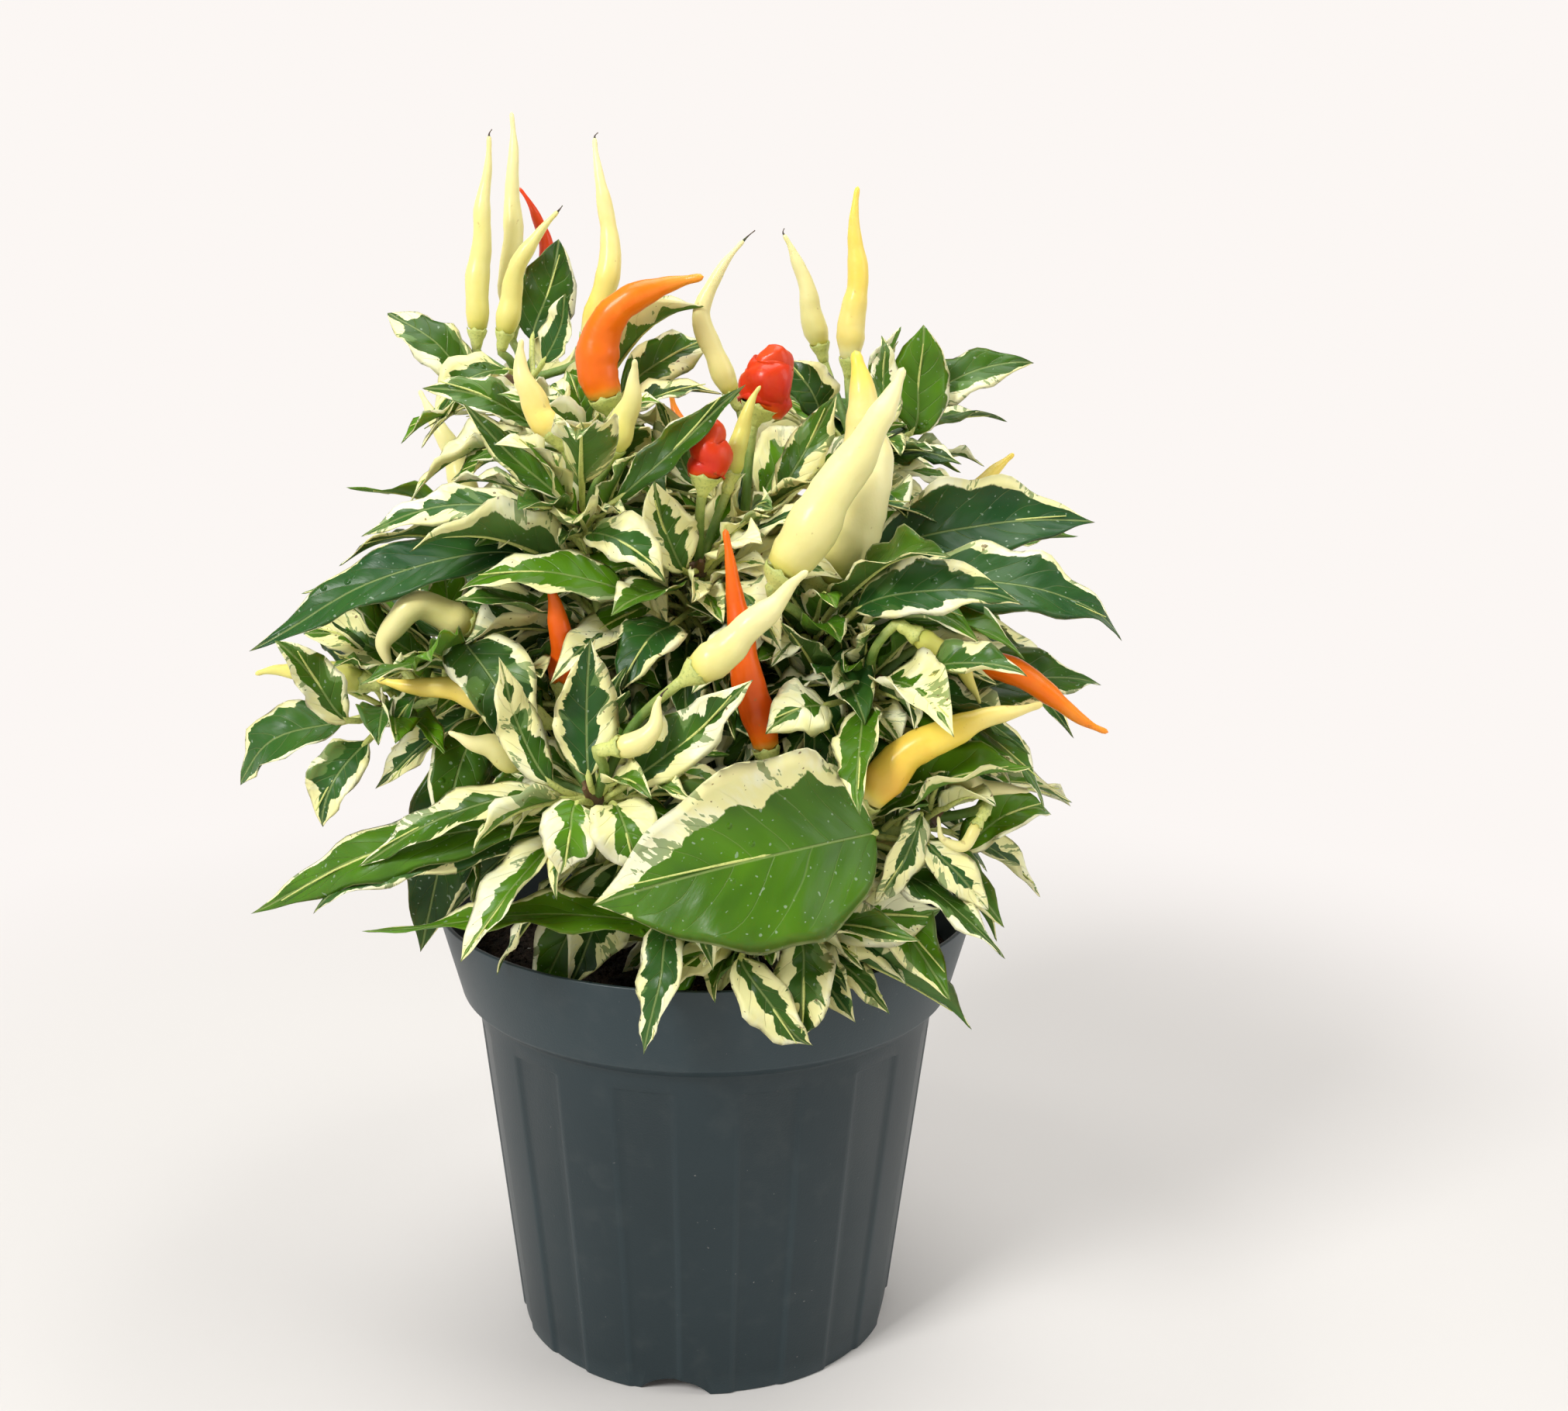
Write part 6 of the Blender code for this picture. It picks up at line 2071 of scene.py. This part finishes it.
  def touches(self, leaf: Leaf, top: np.ndarray) -> bool:
    """Tells whether a blade touches a pod.

    Args:
      leaf: The leaf.
      top: The points of its upper side, by row and column.

    Returns:
      Whether it does.
    """
    reach = leaf.length * 0.7
    near = [tree for centre, size, tree in self.pods if (centre - leaf.mid).length < size + reach]
    if not near:
      return False
    rows, columns = top.shape[0] - 1, top.shape[1]
    starts = [row * columns + column for row in range(rows) for column in range(columns - 1)]
    faces = [(first, first + 1, first + columns + 1, first + columns) for first in starts]
    blade = BVHTree.FromPolygons([Vector(point) for point in top.reshape(-1, 3)], faces)
    return any(tree.overlap(blade) for tree in near)

  def weave(self, rows: int, columns: int) -> None:
    """Joins the newest blade's points with faces.

    Args:
      rows: The rows before its tip.
      columns: The columns from edge to edge.
    """
    width = 2 * columns
    tip, last = self.size + rows * width, (rows - 1) * width
    low = [self.size + place for place in (0, *range(columns + 1, width), columns)]
    for left in range(self.size, self.size + columns):
      right = left + 1
      under, beyond = low[left - self.size], low[right - self.size]
      for row in range(0, last, width):
        after = row + width
        self.faces.append((left + row, right + row, right + after, left + after))
        self.faces.append((under + row, under + after, beyond + after, beyond + row))
      self.faces += [(left + last, right + last, tip), (beyond + last, under + last, tip)]
    self.faces.append((*low[1:-1], *range(self.size + columns, self.size - 1, -1)))

  @staticmethod
  def rib(knots: Places, base_share: float, normal: np.ndarray) -> Strand:
    """Draws a leaf's petiole, which runs on under the blade as its midrib.

    Args:
      knots: The points of its line.
      base_share: Where the blade starts.
      normal: The way that each row of the blade faces.

    Returns:
      The strand.
    """
    shares = [base_share * step / 4 for step in range(4)]
    shares += [base_share + (1 - base_share) * 0.86 * share for share in evenly(9)]
    line = path_places(knots, shares)
    girth = []
    for order, share in enumerate(shares):
      blade = max(0.0, (share - base_share) / (1 - base_share))
      thin = PETIOLE_RADIUS * 0.85 * (1 - 0.82 * min(1.0, blade / 0.86) ** 0.7)
      below = thin * 0.85 * min(1.0, blade * 9)
      line[order] -= Vector(normal[min(int(blade * len(normal)), len(normal) - 1)]) * below
      girth.append(thin)
    girth[0] *= 1.35
    return Strand(line, girth, [0.18] + [0.02] * 12)

  def mesh(self) -> Mesh:
    """Makes the mesh of all the blades, in metres."""
    points, *rows = (np.concatenate(values) for values in self.rows.values())
    return store(plain_mesh(points * MM, self.faces), **dict(zip(list(self.rows)[1:], rows)))


@dataclass
class Shoot:
  """One shoot in its finishes: blades, stems with pod stalks, and calyxes."""

  spray: Spray
  stems: Sweeper
  leaf_skin: Material
  room: Room
  calyx_sides: int = 20
  calyx_teeth: int = 5

  def build(self) -> None:
    """Makes the shoot's pieces."""
    spray = self.spray
    blades = Blades(self.room.pods)
    strands = [
      blades.add(leaf, spray.draw("blade", order), spray.limp)
      for order, leaf in enumerate(spray.placed)
    ]
    mesh = blades.mesh()
    mesh.materials.append(self.leaf_skin)
    hand_in(spray.name + "_leaves", mesh, spray.finish, spray.name)
    for twig in spray.twigs:
      strands += self.twig(twig)
    for pod in spray.pods:
      strands += self.stalk(pod)
    hand_in(spray.name + "_stems", self.stems.sweep(strands), Finish.STEM, spray.name)
    if spray.pods:
      cups = bmesh.new()
      for pod in spray.pods:
        cups.from_mesh(self.calyx(pod))
      mesh = bpy.data.meshes.new("calyxes")
      cups.to_mesh(mesh)
      cups.free()
      mesh.materials.append(self.stems.finish)
      hand_in(spray.name + "_calyxes", mesh, Finish.STEM, spray.name)

  def twig(self, twig: tuple) -> list[Strand]:
    """Draws a twig, with its nodes a little swollen, and the dry scar at its end.

    Args:
      twig: The twig's points.

    Returns:
      The strands.
    """
    knots = twig_points(twig)
    knots[0] = knots[0] - (knots[1] - knots[0]).normalized() * GAP
    line, shares = smooth_path(knots, 22), evenly(22)
    girth = [TWIG_RADIUS * (1.02 - 0.14 * share + 0.09 * sin(share * 14)) for share in shares]
    looks = [0.46 - 0.3 * share + 0.12 * sin(share * 9) for share in shares]
    girth[-1] *= 0.7
    ahead = (line[-1] - line[-2]).normalized()
    draw = random.Random(f"{SEED} {self.spray.name} scar {knots[-1]}")
    made = [Strand(line, girth, looks)]
    for _bit in range(4):
      lean = Vector([draw.uniform(-1, 1) for _ in range(3)])
      way = (ahead + UP * 0.4 + lean * 0.8).normalized()
      start = line[-1] - way * 0.6
      bit = [start, start + way * 1.9, start + way * draw.uniform(2.6, 4.4) + lean * 0.8]
      made.append(Strand(bit, [1.7, draw.uniform(1.1, 1.6), 0.45], [0.72, 0.88, 1.0]))
    return made

  def stalk(self, pod: Pod) -> list[Strand]:
    """Draws a pod's stalk, and the dry bits at its ends.

    Args:
      pod: The pod.

    Returns:
      The strands.
    """
    foot, along = pod.foot
    knots = (*pod.stalk, foot - along * (GAP + CALYX_LENGTH), foot - along * 0.6)
    shares = evenly(13)
    girth = [STALK_RADIUS * (1.12 - 0.25 * share + 0.35 * share**6) for share in shares]
    made = [Strand(smooth_path(knots, 13), girth, [0.36 - 0.32 * share**3 for share in shares])]
    if pod.style:
      before, tip = pod.places((0.95, 1.0))
      ahead = (tip - before).normalized()
      bend = (ahead.cross(UP) + Vector((0.3, -0.2, 0.1))).normalized()
      hook = [tip - ahead * 0.4]
      for share in (0.25, 0.5, 0.75, 1.0):
        hook.append(tip + (ahead * share + bend * share**2) * pod.style * 0.6)
      made.append(Strand(hook, [0.3, 0.18, 0.13, 0.1, 0.12], [0.5, 0.7, 0.66, 0.8, 0.7]))
    if pod.collar:
      centre = path_places(pod.line, [0.12])[0]
      radius = pod.radius_at(0.12) * 0.98
      turns = [FULL_TURN * step / 18 for step in range(18)]
      ring = [centre + beside(along, turn) * radius for turn in turns]
      width = [0.55 * pod.collar * (1 + 0.35 * sin(5 * turn)) for turn in turns]
      made.append(Strand(ring, width, [0.85] * 18, closed=True))
    return made

  def calyx(self, pod: Pod) -> Mesh:
    """Makes the toothed cup that holds a pod.

    Args:
      pod: The pod.

    Returns:
      The cup.
    """
    base, ahead = path_places(pod.line, [0.0, 0.06])
    length = line_length(smooth_path(pod.line, 9))
    along = (ahead - base).normalized()
    seat = pod.radius_at(0.0)
    tooth = 0.35 + 0.12 * seat

    def mouth(height: float, proud: float) -> float:
      """The cup's radius around the pod at a height over its base."""
      return pod.radius_at(max(0.0, height) / length) + proud

    profile = (
      (-CALYX_LENGTH, 0.98, 0.0, 0.0), (-2.1, 1.3, 0.0, 0.0), (-1.1, seat * 0.78 + 0.1, 0.0, 0.0),
      (-0.3, seat + 0.12, 0.0, 0.0), (0.5, mouth(0.5, 0.3), 0.0, 0.05),
      (1.0, mouth(1.0, 0.34), tooth, 0.1), (0.9, mouth(0.9, 0.1), tooth, 0.1),
      (0.2, mouth(0.2, 0.02), 0.0, 0.0), (0.0, seat * 0.5, 0.0, 0.0),
    )
    rings, ages = [], [0.05]
    for height, radius, teeth, age in profile:
      ring = []
      for step in range(self.calyx_sides):
        turn = FULL_TURN * step / self.calyx_sides
        reach = height + teeth * max(0.0, cos(self.calyx_teeth * turn)) ** 1.5
        ring.append(base + along * reach + beside(along, turn) * radius)
      rings.append(ring)
      ages += [0.03 + age] * self.calyx_sides
    cup = round_body(base - along * (CALYX_LENGTH + 0.2), rings, base, upwards=True)
    return store(cup, age=[*ages, 0.05])


@dataclass
class Chilli:
  """One pod, swept along its middle line with its bumps and its ripeness."""

  pod: Pod
  tree: GeometryTree
  skin: Material
  sides: int = 26
  rings: int = 34
  blunt: float = 0.19
  foot: float = 0.2

  def build(self) -> None:
    """Makes the pod."""
    pod = self.pod
    shares = [1 - (1 - step) ** 1.25 for step in evenly(self.rings)]
    line = pod.places(shares)
    length = line_length(line)
    base, tip = pod.ripe or RIPENESS[pod.finish]
    draw = random.Random(f"{SEED} {pod.name} lumps")
    lumps = [
      (beat, draw.uniform(0, 6.3), deep) for beat, deep in ((14, 0.045), (8, 0.032), (4.5, 0.018))
    ]
    crumpled = pod.wrinkle > 1.5
    shaped = replace(pod, fullness=pod.fullness * (1.45 if crumpled else 1.0))
    end = pod.radius * self.blunt
    girth, looks = [], []
    for share in shares:
      radius = max(shaped.radius_at(share), POD_TIP_RADIUS, end)
      for near in ((1 - share) * length / (0.5 + end), share * length / 0.9):
        radius *= sqrt(1 - (1 - min(1.0, near)) ** 2)
      swell = sum(deep * sin(6.283 * share * length / beat + phase) for beat, phase, deep in lumps)
      swell *= min(1.0, share * 8, (1 - share) * 6) * (0.3 if crumpled else min(1.0, length / 25))
      girth.append(max(0.03, radius * (1 + swell)))
      pale_foot = self.foot * exp(-((share / 0.07) ** 2)) * (0.4 + base)
      looks.append(base + (tip - base) * share - pale_foot)
    grain = 210.0 if crumpled else 150.0
    sweeper = Sweeper(self.tree, self.skin, "ripe", self.sides, 0.14 * pod.wrinkle, grain)
    mesh = sweeper.sweep([Strand(line, girth, looks)])
    hand_in(pod.name + "_skin", mesh, pod.finish, pod.name)


# ---- The studio ----


@dataclass
class Studio:
  """A pale floor, soft light and the camera at the photograph's angle."""

  floor_radius: float = 3.0
  glow: Colour = FloorSkin.white
  yaw: float = 2.64
  pitch: float = 13.12
  roll: float = 0.83
  sensor: float = 36.0
  focal_share: float = 2377.6 / 2023.0

  def build(self) -> None:
    """Sets the floor, the lights, the world and the camera."""
    turns = (FULL_TURN * step / 96 for step in range(96))
    mesh = plain_mesh([heading(turn, 0.0) * self.floor_radius for turn in turns], [range(96)])
    mesh.materials.append(FloorSkin("studio_floor").build())
    new_piece("studio_floor", mesh)
    for name, place, height, size, power in (
      ("overhead", (0.05, 0.1, 1.25), 0.1, 1.0, 13.0),
      ("front_left", (-0.75, -0.8, 0.95), 0.12, 0.4, 14.0),
      ("right_fill", (1.05, -0.35, 0.6), 0.12, 0.6, 3.0),
    ):
      lamp = bpy.data.lights.new(name, "AREA")
      lamp.size, lamp.energy = size, power
      turned = (UP * height - Vector(place)).to_track_quat("-Z", "Y").to_matrix().to_4x4()
      new_piece(name, lamp).matrix_world = Matrix.Translation(place) @ turned
    world = bpy.data.worlds.new("studio_world")
    world.use_nodes = True
    sheet = Sheet(world.node_tree)
    height = sheet.split(sheet.node("ShaderNodeTexCoord").outputs["Generated"])[2]
    above = sheet.step(height, 0.15, 0.45)
    sky = sheet.mix(above, self.glow, [value * 0.22 for value in self.glow])
    sheet.give(world.node_tree.nodes["Background"].inputs["Color"], sky)
    bpy.context.scene.world = world
    bpy.context.scene.view_settings.view_transform = "Standard"
    self.camera()

  def camera(self) -> None:
    """Stands the camera."""
    yaw, pitch, roll = (radians(value) for value in (self.yaw, self.pitch, self.roll))
    ahead = heading(FULL_TURN / 4 - yaw, -pitch)
    right = Vector((cos(yaw), -sin(yaw), 0))
    up = right.cross(ahead)
    turned = right * cos(roll) + up * sin(roll)
    upright = up * cos(roll) - right * sin(roll)
    lens = bpy.data.cameras.new("photo_camera")
    lens.sensor_width = self.sensor
    lens.lens = self.sensor * self.focal_share
    place = Matrix((turned, upright, -ahead)).transposed().to_4x4()
    place.translation = Vector(EYE) * MM
    bpy.context.scene.camera = new_piece("photo_camera", lens)
    bpy.context.scene.camera.matrix_world = place


def main() -> None:
  """Builds the plant, its pot and the studio, in order."""
  NurseryPot().build()
  SoilBed().build()
  room = set_leaves()
  tree = sweep_tree()
  bark = StemSkin(Finish.STEM.value).build()
  pod_skin = PodSkin("pod_skin").build()
  shades = (Finish.DARK, Finish.MID, Finish.VARIEGATED)
  leaf_skins = {shade: LeafSkin(shade.value).build() for shade in shades}
  Trunk(Sweeper(tree, bark, "age", 18, 0.14, 260.0)).build()
  stems = Sweeper(tree, bark, "age", 8, 0.1, 500.0)
  for spray in SPRAYS:
    Shoot(spray, stems, leaf_skins[spray.finish], room).build()
    for pod in spray.pods:
      Chilli(pod, tree, pod_skin).build()
  Studio().build()


if __name__ == "__main__":
  main()
